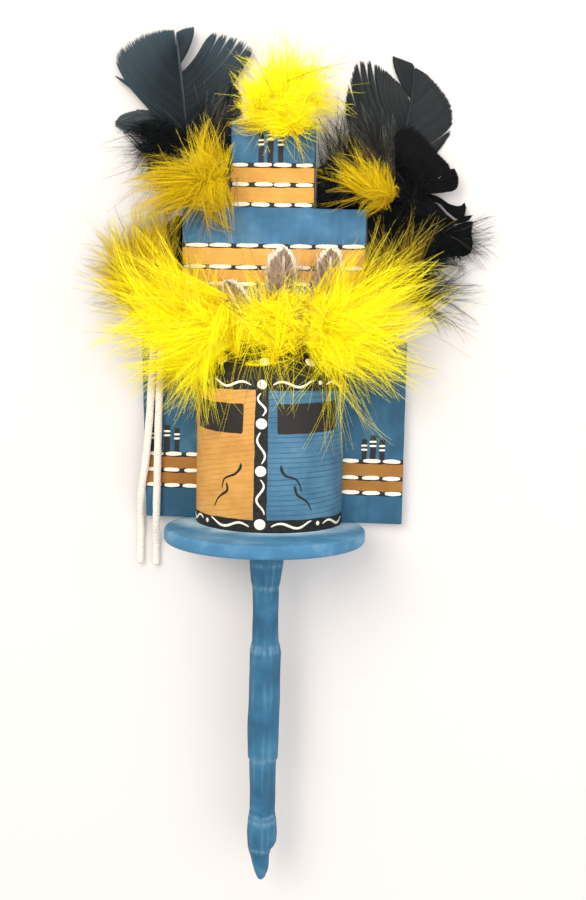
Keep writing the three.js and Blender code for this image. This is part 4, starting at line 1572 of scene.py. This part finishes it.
@dataclass
class Plume:
    """One tuft of marabou: locks of clinging barbs that burst from a tied root."""

    name: str
    node: str
    root: tuple[float, float, float]
    top: float
    reach: tuple[tuple[float, float], ...]
    locks: int
    per_lock: int
    seed: int
    wisps: tuple[tuple[float, float, float, int], ...] = ()
    root_spread: float = 3.5
    clump: float = 2.2
    stray: float = 0.14
    sag: float = 0.2
    shortest: float = 0.45
    core: float = 0.36
    barbule: float = 3.4
    step: float = 1.25
    stem: float = 0.22
    odd: float = 0.015
    tone: tuple[float, float] = (0.7, 0.15)
    slot: str = "yellow_marabou"
    behind: bool = False
    upward_shade: float = 0.0

    def reach_at(self, bearing: Array) -> Array:
        """How far the tuft reaches at each bearing in degrees."""
        table = np.array(self.reach)
        return np.interp(bearing % 360, table[:, 0], table[:, 1], period=360)

    def bearings(self, hand: np.random.Generator) -> Array:
        """Bearings for the locks, closer where the tuft reaches further."""
        fine = np.linspace(0, 360, 721)
        weight = np.cumsum(self.reach_at(fine) ** 1.4)
        spots = (np.arange(self.locks) + hand.uniform(0.1, 0.9, self.locks)) / self.locks
        return hand.permutation(np.interp(spots, weight / weight[-1], fine))

    def lock_path(
        self, bearing: float, far: float, share: float, layer: float, hand: np.random.Generator
    ) -> Array:
        """The middle line of one lock.

        Args:
            bearing: its bearing in degrees.
            far: how far out it ends, in millimetres.
            share: the same as a share of the tuft's reach there.
            layer: how high it ends, from 0 on the wood to 1 at the dome's top.
            hand: the source of chance.

        Returns:
            Fifteen points.
        """
        angle = math.radians(bearing + hand.normal(0, 3))
        out = np.array([math.cos(angle), math.sin(angle), 0.0])
        side = np.array([-out[1], out[0], 0.0])
        dome = self.root[2] + (self.top - self.root[2]) * math.sqrt(
            max(0.03, 1 - 0.93 * min(share, 1.03) ** 2)
        )
        foot = max(1.5, self.root[2] * (1 - 1.1 * share))
        end_z = foot + (dome - foot) * layer
        start = np.array(self.root) + hand.normal(0, self.root_spread, 3) * (1, 1, 0.35) + (0, 0, 4 * layer)
        bend = hand.normal(0, 0.09) * far
        end = np.array(self.root) * (1, 1, 0) + out * far + side * bend + (0, 0, end_z)
        peak = max(start[2], end_z) + far * (0.06 + 0.2 * layer)
        knee = start + (end - start) * hand.uniform(0.35, 0.55) - side * bend * 1.2
        knee[2] = peak
        t = np.linspace(0, 1, 15)[:, None]
        line = (1 - t) ** 2 * start + 2 * t * (1 - t) * knee + t**2 * end
        line[:, 2] -= self.sag * far * t[:, 0] ** 4 * 0.4
        return line

    def grow(self, wood: Obstacles, material: bpy.types.Material) -> bpy.types.Object:
        """Grow the tuft.

        Args:
            wood: what it lies on.
            material: the dyed down.

        Returns:
            The piece, which stands for the plume's solid where it has one.
        """
        hand = np.random.default_rng(self.seed)
        strands = Strands(
            self.name, Growth.DOWN, self.stem, 0.06, self.barbule, 0.15, self.step, 34, self.seed
        )
        for bearing in self.bearings(hand):
            full = float(self.reach_at(np.array([bearing]))[0])
            if hand.random() < self.core:
                share, layer = hand.uniform(0.25, 0.6), hand.uniform(0.55, 1)
            else:
                share = self.shortest + (1.05 - self.shortest) * math.sqrt(hand.random())
                layer = hand.beta(1.2, 1.0)
            path = self.lock_path(float(bearing), full * share, share, layer, hand)
            # painted shade: the tint drops for locks that end low in the tuft, that reach its outer rim, and
            # by upward_shade for locks that point up
            upward = max(0.0, math.sin(math.radians(float(bearing)))) * min(1.0, 1.6 * share)
            depth = 0.5 * (layer - 0.45) - 0.4 * max(0.0, share - 0.72) - self.upward_shade * upward
            shade = float(np.clip(hand.normal(*self.tone) + depth, 0, 0.86))
            self.lock(strands, path, shade, wood, hand)
        for first, last, far, count in self.wisps:
            for _ in range(count):
                path = self.lock_path(
                    hand.uniform(first, last), far * hand.uniform(0.7, 1.1), 0.9, hand.random(), hand
                )
                self.wisp(strands, path, wood, hand)
        made = strands.grow(material, (self.root[0], self.root[1], self.root[2] - 6))
        return dress(made, material, self.slot, *[self.node] if self.node else [])

    def lock(
        self, strands: Strands, path: Array, shade: float, wood: Obstacles, hand: np.random.Generator
    ) -> None:
        """Add one lock's barbs round its middle line.

        Args:
            strands: the strands that it joins.
            path: its middle line.
            shade: its tint.
            wood: what it lies on.
            hand: the source of chance.
        """
        t = np.linspace(0, 1, len(path))
        along = np.gradient(path, axis=0)
        along /= np.linalg.norm(along, axis=1)[:, None]
        side = np.cross(along, (0, 0, 1.0))
        side /= np.maximum(np.linalg.norm(side, axis=1), 0.2)[:, None]
        up = np.cross(side, along)
        length = float(np.linalg.norm(np.diff(path, axis=0), axis=1).sum())
        for _ in range(self.per_lock):
            loose = hand.random() < self.stray
            off = hand.normal(0, 1, 2) * (1, 0.7)
            swell = self.clump * np.sin(np.pi * np.clip(t * 0.92 + 0.06, 0, 1)) ** 0.8
            if loose:
                swell = self.clump * (0.5 + 2.2 * t**1.3)
            wave = hand.uniform(0.1, 0.5) * t * np.sin(t * length / hand.uniform(4, 9) + hand.uniform(0, 6.3))
            line = path + side * (off[0] * swell + wave)[:, None] + up * (off[1] * swell)[:, None]
            if loose:
                line[:, 2] -= hand.uniform(0, 0.08) * length * t**2
            end = hand.uniform(0.8, 1.0) if loose else 1 - 0.45 * hand.random() ** 1.2
            count = max(6, int(length * end / 4.6))
            cut = np.linspace(0, end, count)
            line = np.stack([np.interp(cut, t, line[:, k]) for k in range(3)], axis=1)
            tint = 1.0 if hand.random() < self.odd else float(np.clip(shade + hand.normal(0, 0.08), 0, 0.88))
            if self.behind:
                line = wood.trim(line)
            if len(line) > 2:
                strands.add(wood.clear(line), tint, float(hand.uniform(0.75, 1.15)))

    def wisp(self, strands: Strands, path: Array, wood: Obstacles, hand: np.random.Generator) -> None:
        """Add a few long loose barbs that keep together.

        Args:
            strands: the strands that they join.
            path: their middle line.
            wood: what they lie on.
            hand: the source of chance.
        """
        t = np.linspace(0, 1, len(path))
        tint = (
            float(np.clip(hand.normal(self.tone[0] - 0.15, self.tone[1]), 0, 0.86))
            if hand.random() > 0.25 else 1.0
        )
        for _ in range(2):
            drift = np.append(hand.normal(0, 0.8, 2), 0) * t[:, None] * 1.5
            line = wood.trim(path + drift) if self.behind else path + drift
            if len(line) > 2:
                strands.add(wood.clear(line), tint, float(hand.uniform(0.45, 0.75)))


PLUMES = (
    Plume(
        "crown_plume_down", "crown_plume", (4.3, 136, 12), 27,
        ((0, 27), (30, 29), (60, 31), (90, 33), (120, 32), (150, 29), (180, 26), (205, 16), (235, 8),
         (270, 6), (310, 9), (335, 19)), 84, 20, 21, ((200, 340, 20, 16), (20, 160, 34, 14)), root_spread=4.2,
    ),
    Plume(
        "left_upper_plume_down", "left_upper_plume", (-24.5, 109.5, 15), 29,
        ((0, 8), (45, 14), (75, 22), (95, 26), (120, 27), (150, 31), (180, 38), (205, 40), (225, 34),
         (250, 24), (283, 27), (320, 14)), 60, 17, 22, ((150, 300, 36, 14),), slot="gold_marabou",
        tone=(0.45, 0.22), clump=1.9,
    ),
    Plume(
        "right_upper_plume_down", "right_upper_plume", (43.5, 105, 13), 24,
        ((0, 5), (60, 12), (90, 18), (120, 26), (138, 29), (157, 29), (180, 26), (210, 14), (270, 5)), 36, 15,
        23, ((110, 200, 28, 10),), root_spread=2.4, slot="gold_marabou", tone=(0.42, 0.26), clump=1.6,
    ),
    Plume(
        "left_back_gold_down", "", (-47, 60, 9), 18,
        ((0, 5), (55, 14), (70, 30), (80, 40), (92, 43), (108, 43), (124, 42), (140, 42), (158, 34),
         (180, 16), (230, 6)), 100, 16, 27, ((75, 150, 46, 18),), root_spread=4.5, slot="gold_marabou",
        behind=True, tone=(0.3, 0.22), clump=1.9, core=0.1, shortest=0.5,
    ),
    Plume(
        "left_side_plume_down", "left_side_plume", (-22, 50.5, 18), 44,
        ((0, 8), (60, 12), (90, 20), (108, 34), (123, 50), (140, 58), (152, 60), (165, 58), (182, 55),
         (197, 53), (214, 51), (244, 43), (262, 41), (290, 20)), 118, 15, 24,
        ((118, 190, 57, 24), (190, 285, 44, 16)), root_spread=5, upward_shade=0.5,
    ),
    Plume(
        "brow_plume_down", "brow_plume", (0, 49.5, 24), 38,
        (
            (0, 28), (30, 29), (55, 28), (90, 26), (122, 28), (150, 27), (180, 24), (220, 13), (270, 8),
            (320, 14)
        ),
        92, 9, 25, ((200, 330, 30, 34), (20, 160, 33, 24)), root_spread=6, tone=(0.66, 0.2), clump=1.5,
        upward_shade=0.45, stem=0.18,
        barbule=2.6, stray=0.25,
    ),
    Plume(
        "right_side_plume_down", "right_side_plume", (24, 51, 18), 43,
        ((0, 51), (15, 55), (31, 60), (45, 58), (58, 44), (90, 27), (130, 22), (180, 20), (230, 13),
         (262, 22), (284, 28), (298, 42), (314, 50), (330, 51), (346, 52)), 118, 15, 26,
        ((262, 300, 48, 24), (215, 262, 34, 12), (0, 64, 56, 24), (100, 170, 28, 8)), root_spread=5,
        upward_shade=0.42,
    ),
)


@dataclass
class VanedFeather:
    """A flat feather: a rachis with close barbs that run out to its outline in lobes, parted and hooked."""

    name: str
    node: str
    shaft: tuple[Point, ...]
    height: float
    lobes: tuple[tuple[tuple[float, float, float], ...], ...]
    sheaves: tuple[tuple[tuple[Point, ...], ...], ...] = ()
    bow: float = 0.07
    camber: float = 2.0
    pitch: float = 0.42
    ribbon: float = 1.15
    ragged: float = 0.01
    quills: tuple[float, ...] = (0.0,)
    shaft_tint: float = 0.0
    tone: tuple[float, float] = (0.4, 0.2)
    seed: int = 40
    slot: str = "black_feather"
    finish: VaneSheen = BLACK_VANE

    def barb(self, strands: Strands, flat: Array, hand: np.random.Generator) -> None:
        """Lay one barb, arched over its length and resting on the table at its ends.

        Args:
            strands: the strands that it joins.
            flat: its line seen from above.
            hand: the source of chance.
        """
        t = np.linspace(0, 1, len(flat))
        length = float(np.linalg.norm(np.diff(flat, axis=0), axis=1).sum())
        arch = self.camber * (length / 30) * (1.6 * t - 1.9 * t**2)
        rise = np.maximum(self.height + arch + hand.normal(0, 0.05), 0.35)
        strands.add(np.column_stack([flat, rise]), float(np.clip(hand.normal(*self.tone), 0, 0.8)), 1.0)

    def lobe(self, strands: Strands, rows: Sequence[Sequence[float]], hand: np.random.Generator) -> None:
        """Lay the barbs of one lobe from the shaft to the outline.

        Args:
            strands: the strands that they join.
            rows: place along the shaft, and where the barb from there ends.
            hand: the source of chance.
        """
        rail = spline(rows, 240)
        rachis = spline(self.shaft, 240)
        roots = np.stack([np.interp(rail[:, 0] * 239, np.arange(240), rachis[:, k]) for k in (0, 1)], axis=1)
        heading = np.array(self.shaft[-1]) - np.array(self.shaft[0])
        steps = np.maximum(np.linalg.norm(np.diff(roots, axis=0), axis=1),
                           np.linalg.norm(np.diff(rail[:, 1:], axis=0), axis=1))
        run = np.concatenate([[0], np.cumsum(steps)])
        t = np.linspace(0, 1, 9)[:, None]
        for place in np.arange(0, run[-1], self.pitch):
            start, end = (
                np.array([np.interp(place, run, line[:, k]) for k in (0, 1)]) for line in (roots, rail[:, 1:])
            )
            reach = (end - start) * (1 + self.ragged * hand.normal())
            side = np.array([-reach[1], reach[0]]) * self.bow
            if side @ heading > 0:
                side = -side
            self.barb(strands, start + reach * t + side * 4 * t * (1 - t), hand)

    def sheaf(self, strands: Strands, guides: Sequence[Sequence[Point]], hand: np.random.Generator) -> None:
        """Lay loose barbs between guide barbs.

        Args:
            strands: the strands that they join.
            guides: the barbs at its edges and any between, root first.
            hand: the source of chance.
        """
        lines = np.array([spline(guide, 12) for guide in guides])
        widest = np.linalg.norm(np.diff(lines, axis=0), axis=2).max(axis=1).sum()
        for share in np.linspace(0, len(lines) - 1, max(3, int(widest / self.pitch))):
            k = min(int(share), len(lines) - 2)
            self.barb(strands, lines[k] + (lines[k + 1] - lines[k]) * (share - k), hand)

    def grow(self) -> bpy.types.Object:
        """Grow the feather, which stands for its solid."""
        material = self.finish.make()
        hand = np.random.default_rng(self.seed)
        strands = Strands(self.name, Growth.VANE, self.ribbon, self.ribbon * 0.12, seed=self.seed)
        for rows in self.lobes:
            self.lobe(strands, rows, hand)
        for guides in self.sheaves:
            self.sheaf(strands, guides, hand)
        rachis = spline(self.shaft, 24)
        for offset in self.quills:
            strands.add(
                np.column_stack([rachis + (offset, 0), np.full(24, self.height + 0.45)]), self.shaft_tint, 1.0
            )
        made = strands.grow(material)
        return dress(made, material, self.slot, *[self.node] if self.node else [])


BLACK_FEATHERS = (
    VanedFeather(
        "broad_black_feather", "black_feather_left_1",
        (
            (-31, 114), (-34.5, 124), (-37.4, 134.4), (-38.7, 144.6), (-40, 154.8), (-41.2, 163.7),
            (-41.9, 170)
        ), 3.6,
        (
            ((0.12, -45.5, 137), (0.16, -49.4, 141.8), (0.21, -58.9, 149.5), (0.27, -65.4, 155.5),
             (0.34, -67, 159.9), (0.42, -65.2, 163.6), (0.5, -61.6, 166.4), (0.57, -57.6, 168.6),
             (0.65, -53.4, 170.2), (0.74, -48, 171.2),
             (0.85, -43, 171.3)),
            ((0.96, -41.4, 170.6), (0.88, -38.5, 171.8), (0.79, -34.6, 172.6)),
            ((0.71, -29.6, 167.6), (0.69, -27.3, 169.8), (0.65, -25, 169.8)),
            ((0.64, -23.6, 169.5), (0.59, -20.9, 169)),
            ((0.58, -19.5, 168.6), (0.54, -16.9, 168)),
            ((0.53, -15.7, 167.1), (0.49, -13.4, 166)),
            ((0.48, -12.5, 164.9), (0.45, -10.6, 163.1), (0.41, -12, 160.2)),
            ((0.4, -12.9, 158.8), (0.33, -16.3, 154.4), (0.26, -20.2, 149.8), (0.2, -24.2, 144.4),
             (0.14, -27.4, 138), (0.08, -29.3, 132)),
        ),
        (
            (((-34, 124), (-40, 133), (-46.7, 139.1), (-53.5, 143.6), (-60.2, 148), (-67.6, 152.9)),
             ((-35, 127), (-41, 135.5), (-47.2, 140.6), (-54, 145), (-60.6, 149.2), (-67.4, 153.1))),
        ), seed=41,
    ),
    VanedFeather(
        "inner_black_feather", "black_feather_left_2", ((-27, 110), (-25, 124), (-23, 137), (-20.5, 148)),
        0.8, (
            ((0, -33, 120), (0.3, -31, 133), (0.6, -28.5, 143), (0.85, -24.5, 149), (1, -20.8, 151.5)),
            ((0, -19, 116), (0.3, -17.5, 128), (0.6, -15.5, 139), (0.85, -16, 147), (1, -19.8, 151.5)),
        ), camber=1.0, ragged=0.07, seed=42,
    ),
    VanedFeather(
        "curled_black_feather", "black_feather_left_3",
        ((-37, 124), (-41, 131), (-47, 135.8), (-54, 137.8), (-61, 137.3), (-66.5, 135)), 0.8,
        (
            ((0.15, -40, 133.5), (0.35, -47.1, 138), (0.52, -53.9, 139.7), (0.7, -60.6, 139.4),
             (0.88, -66, 137.5), (1, -68.1, 134.8)),
            ((0.05, -42, 122), (0.3, -52, 128), (0.5, -59, 130.5), (0.7, -64.5, 131.5), (0.88, -67.4, 133),
             (1, -68.1, 134.4)),
        ), camber=1.2, ragged=0.06, ribbon=0.6, pitch=0.38, seed=43, finish=GREY_VANE,
    ),
    VanedFeather(
        "tall_black_feather", "black_feather_right_1",
        ((46, 98), (48.5, 111), (50.8, 123), (53.4, 137), (54.8, 146.3), (55.2, 152.3), (55, 157.8)), 0.8,
        (
            ((0.74, 52.2, 147.8), (0.64, 49.4, 151), (0.55, 44.3, 155.5), (0.47, 39, 158.7)),
            ((0.46, 37.6, 159.4), (0.43, 36, 159.6)),
            ((0.42, 34.7, 159.7), (0.39, 33.3, 159.5)),
            ((0.38, 32.1, 158.8), (0.35, 30.8, 156), (0.29, 29.7, 151.5)),
            ((0.28, 28.9, 150), (0.2, 28, 143), (0.12, 29, 135), (0, 34, 118)),
            ((0.79, 46.5, 161.7), (0.86, 48.9, 160.8), (0.93, 51.6, 159.8), (0.99, 54.2, 158.7)),
            ((0.96, 56.4, 156.7), (0.86, 59.2, 155.2), (0.77, 62.2, 152.9), (0.66, 66.3, 148.6),
             (0.56, 69.6, 144.3), (0.47, 71.1, 139.8), (0.4, 71.4, 134.4)),
            ((0.38, 70.9, 132.2), (0.33, 70, 129.8), (0.28, 68.4, 127.2)),
            ((0.26, 67, 125.4), (0.2, 65, 124), (0.12, 61, 122), (0, 54, 114)),
        ), seed=44, finish=DARK_VANE,
    ),
    VanedFeather(
        "middle_black_feather", "black_feather_right_2", ((42, 101), (51, 108), (61, 111.4), (70, 111.6)),
        6.1, (
            ((0, 43.5, 121), (0.08, 47, 127.5), (0.16, 51, 132), (0.27, 55.5, 132.6), (0.42, 60.6, 128.4),
             (0.58, 66, 122.4), (0.74, 70, 118.2), (0.84, 71.4, 115.4)),
            ((0.9, 72.9, 116.1), (0.95, 74.2, 113.4), (1, 74.5, 110.6), (0.98, 73.6, 108), (0.9, 70, 106.8),
             (0.7, 64.5, 106.2), (0.5, 59, 105.4), (0.25, 51, 101.6), (0.05, 44.5, 98.5)),
        ), camber=1.2, seed=45, finish=DEEP_BLACK_VANE,
    ),
    VanedFeather(
        "low_black_feather", "black_feather_right_3", ((44, 97), (56, 95), (68, 91), (78, 86.5)), 3.4,
        (
            ((0.2, 62, 104.6), (0.32, 66.4, 102.6), (0.45, 70.5, 98.4), (0.57, 75, 95.4), (0.66, 79.2, 96),
             (0.71, 81, 98.2)),
            ((0.75, 81.3, 95.6), (0.83, 80.9, 90.5), (0.93, 81.4, 85.5), (0.86, 79.6, 82), (0.7, 73.7, 81.2),
             (0.5, 66, 80), (0.3, 57, 81), (0.08, 48, 84)),
        ),
        (
            (((58, 107), (66, 105), (71, 102), (75.6, 101.2), (77.5, 103.3)),
             ((58, 105.5), (66.5, 104), (71.3, 100.6), (76, 98.8), (78.2, 101.4)),
             ((58, 104), (66.6, 103.4), (71, 99.6), (75.2, 96.7), (78, 97.4))),
        ), seed=46, finish=DEEP_BLACK_VANE,
    ),
)
UNDER_FEATHERS = VanedFeather(
    "black_under_feathers", "", ((48, 100.6), (40, 102), (32, 104)), 0.8, (),
    (
        (((47, 101.4), (32, 100.7), (16.4, 100.5)), ((47, 103), (32, 105), (16.4, 109)),
         ((47, 105), (34, 111), (16.6, 117)), ((48, 107), (38, 116), (26, 123))),
        (((58, 93), (48, 96), (38.1, 99)), ((58, 87), (48, 89), (38.1, 91)), ((58, 80), (48, 80), (38.1, 80)),
         ((58, 74), (48, 72), (38.1, 69))),
        (
            ((-39, 62), (-38.6, 80), (-38.6, 97)), ((-43, 62), (-43, 80), (-42, 97)),
            ((-47, 62), (-49, 78), (-48, 92))
        ),
    ), camber=0.9, seed=45, finish=DEEP_BLACK_VANE,
)
BARRED_FEATHERS = (
    VanedFeather(
        "middle_barred_feather", "barred_feather_1", ((3.2, 56), (3.5, 66), (4.1, 75), (4.3, 80.5)), 6.6,
        (
            ((0.1, -2.6, 66), (0.4, -3, 74.5), (0.62, -2.2, 80), (0.8, 0.6, 83.3), (1, 4.1, 84.4)),
            ((0.1, 9, 66), (0.4, 9.4, 74.5), (0.62, 8.9, 79.6), (0.8, 7.2, 82.7), (1, 4.5, 84.4)),
        ), camber=1.4, pitch=0.4, ribbon=0.62, ragged=0.07, quills=(-0.3, 0.0, 0.3), shaft_tint=1.0,
        tone=(0.12, 0.12), seed=47, slot="barred_feather", finish=BARRED_VANE,
    ),
    VanedFeather(
        "right_barred_feather", "barred_feather_2", ((22.2, 57), (22.8, 66), (23.3, 75), (23.6, 80.5)), 6.6,
        (
            ((0.1, 18, 66), (0.4, 17.9, 74.5), (0.62, 18.6, 80.2), (0.8, 20.6, 83.4), (1, 23.6, 84.8)),
            ((0.1, 28.2, 66), (0.4, 29, 74.5), (0.62, 28.6, 80), (0.8, 27, 83.3), (1, 24, 84.8)),
        ), camber=1.4, pitch=0.4, ribbon=0.62, ragged=0.07, quills=(-0.3, 0.0, 0.3), shaft_tint=1.0,
        tone=(0.12, 0.12), seed=48, slot="barred_feather", finish=BARRED_VANE,
    ),
    VanedFeather(
        "left_barred_feather", "barred_feather_3", ((-8, 47), (-12, 55), (-16, 62), (-19.5, 69)), 6.6,
        (
            ((0.1, -13, 52), (0.5, -19, 62), (0.8, -21.5, 68), (1, -20, 70.5)),
            ((0.1, -5, 54), (0.5, -9.5, 64), (0.8, -15, 70), (1, -19.4, 70.5)),
        ), camber=1.0, ribbon=0.62, ragged=0.07, quills=(-0.3, 0.0, 0.3), shaft_tint=1.0, tone=(0.12, 0.12),
        seed=49, slot="barred_feather", finish=BARRED_VANE,
    ),
)
BLACK_TUFTS = (
    Plume(
        "left_black_down", "", (-28, 116, 4), 11,
        ((0, 14), (30, 17), (55, 28), (80, 32), (105, 24), (130, 20), (150, 26), (170, 33), (190, 34),
         (215, 30), (240, 26), (270, 22), (300, 16), (330, 14)), 84, 14, 31, ((140, 220, 42, 10),),
        root_spread=6, slot="black_feather", behind=True, shortest=0.35, tone=(0.25, 0.18),
    ),
    Plume(
        "inner_black_down", "", (-27, 100, 3), 8,
        ((0, 5), (55, 14), (70, 40), (82, 50), (98, 50), (112, 42), (130, 26), (180, 8), (270, 5)), 84, 14,
        39,
        slot="black_feather", behind=True, root_spread=5, shortest=0.2, core=0.0, tone=(0.12, 0.1), clump=2.8,
    ),
    Plume(
        "left_curled_down", "", (-46, 127, 3), 8,
        ((0, 8), (90, 8), (140, 16), (165, 22), (190, 23), (215, 20), (250, 14), (300, 8)), 34, 13, 35,
        ((165, 225, 25, 10),), slot="black_feather", behind=True, shortest=0.45, tone=(0.6, 0.2), clump=1.5,
    ),
    Plume(
        "right_black_down", "", (44, 103, 3), 9,
        ((0, 22), (40, 20), (80, 24), (110, 32), (140, 32), (165, 32), (190, 30), (230, 18), (270, 26),
         (300, 30), (330, 26)), 96, 14, 32, slot="black_feather", behind=True, root_spread=7, shortest=0.35,
         tone=(0.15, 0.12),
    ),
    Plume(
        "step_black_down", "", (27, 98, 3), 8,
        ((0, 14), (40, 24), (62, 36), (80, 44), (98, 44), (112, 26), (130, 10), (180, 5), (270, 5)), 96, 14,
        40, slot="black_feather", behind=True, root_spread=5.5, shortest=0.15, core=0.0, tone=(0.12, 0.1),
        clump=2.8,
    ),
    Plume(
        "right_low_down", "", (54, 82, 3), 8,
        (
            (0, 26), (30, 24), (60, 22), (100, 22), (140, 20), (180, 18), (220, 18), (270, 20), (310, 24),
            (340, 27)
        ),
        80, 14, 36, slot="black_feather", behind=True, root_spread=7, shortest=0.35, tone=(0.15, 0.12),
    ),
    Plume(
        "left_low_down", "", (-45, 64, 3), 8,
        ((0, 4), (60, 14), (76, 30), (86, 38), (98, 38), (110, 36), (124, 28), (145, 14), (200, 6), (270, 6)),
        64, 14, 50, slot="black_feather", behind=True, root_spread=4, shortest=0.3, core=0.0,
        tone=(0.12, 0.1),
        clump=2.6,
    ),
    Plume(
        "low_black_wisps", "", (72, 88, 3), 7,
        ((0, 17), (25, 21), (60, 8), (120, 6), (200, 6), (270, 12), (310, 16), (340, 18)), 16, 9, 33,
        ((-40, 40, 20, 26),), slot="black_feather", behind=True, shortest=0.5, tone=(0.4, 0.2), stray=0.4,
        clump=1.4,
    ),
    Plume(
        "right_black_wisps", "", (60, 62, 3), 7,
        ((0, 27), (40, 29), (70, 18), (120, 8), (270, 8), (320, 20), (345, 26)), 10, 7, 41,
        ((-35, 35, 28, 14),), slot="black_feather", behind=True, shortest=0.6, tone=(0.45, 0.2), stray=0.4,
        clump=1.3,
    ),
    Plume(
        "left_black_wisps", "", (-44, 64, 4), 8,
        ((0, 6), (100, 10), (125, 40), (140, 42), (160, 37), (180, 33), (205, 22), (240, 10)), 26, 9, 34,
        ((120, 190, 40, 34),), slot="black_feather", behind=True, shortest=0.6, tone=(0.5, 0.2), stray=0.35,
        clump=1.4,
    ),
)
BRONZE_TUFTS = (
    Plume(
        "right_back_gold_down", "", (50, 66, 7), 14,
        ((0, 6), (40, 20), (56, 32), (70, 42), (82, 34), (98, 20), (116, 38), (128, 42), (142, 26), (170, 8),
         (270, 4)), 32, 13, 28, ((60, 135, 42, 14),), root_spread=3.5, slot="gold_marabou", behind=True,
        tone=(0.3, 0.25), clump=1.8, core=0.1, shortest=0.55,
    ),
)
BROWN_TUFTS = (
    Plume(
        "right_brown_down", "", (45, 108, 7), 12,
        ((0, 3), (80, 8), (100, 34), (118, 44), (138, 44), (158, 36), (178, 29), (200, 20), (240, 4)), 34, 11,
        37,
        slot="black_feather", behind=True, shortest=0.45, core=0.1, tone=(0.35, 0.25), stray=0.3, stem=0.2,
    ),
    Plume(
        "left_brown_down", "", (-25, 122, 7), 10,
        ((0, 6), (30, 10), (55, 26), (75, 34), (95, 24), (130, 6), (220, 4), (300, 4)), 16, 11, 38,
        slot="black_feather", behind=True, shortest=0.5, core=0.1, tone=(0.3, 0.25), stray=0.3, stem=0.2,
    ),
)
FAWN_TUFTS = (
    Plume(
        "middle_barred_down", "", (3.5, 66, 8), 10,
        ((0, 8), (40, 12), (65, 19), (90, 21), (115, 19), (140, 12), (180, 8), (270, 5)), 18, 10, 42,
        slot="barred_feather", shortest=0.5, core=0.1, tone=(0.75, 0.15), stray=0.3, stem=0.16,
        root_spread=2.5,
    ),
    Plume(
        "right_barred_down", "", (23, 66, 8), 10,
        ((0, 8), (40, 12), (65, 19), (90, 21), (115, 19), (140, 12), (180, 8), (270, 5)), 16, 10, 43,
        slot="barred_feather", shortest=0.5, core=0.1, tone=(0.75, 0.15), stray=0.3, stem=0.16,
        root_spread=2.5,
    ),
)


def main() -> None:
    """Build the studio and the laces, then the wood, then the feathers."""
    logging.basicConfig(level=logging.INFO, format="%(name)s: %(message)s")
    studio = Studio()
    studio.camera()
    hide = SuedeLace().make()
    for lace in LACES:
        lace.make(hide)
    tableta, mask = Tableta(), CaseMask()
    tableta.make()
    mask.make()
    ChinDisc().make()
    WandHandle().make()
    wood = Obstacles(tableta, mask)
    dyes = {"yellow_marabou": YELLOW_DOWN.make(), "gold_marabou": GOLD_DOWN.make()}
    for plume in PLUMES:
        plume.grow(wood, dyes[plume.slot])
    for feather in (*BLACK_FEATHERS, UNDER_FEATHERS, *BARRED_FEATHERS):
        feather.grow()
    for tufts, down in (
        (BLACK_TUFTS, BLACK_DOWN.make()), (BRONZE_TUFTS, BRONZE_DOWN.make()),
        (BROWN_TUFTS, BROWN_DOWN.make()),
        (FAWN_TUFTS, FAWN_DOWN.make()),
    ):
        for tuft in tufts:
            tuft.grow(wood, down)
    studio.floor()
    studio.lights()


if __name__ == "__main__":
    main()
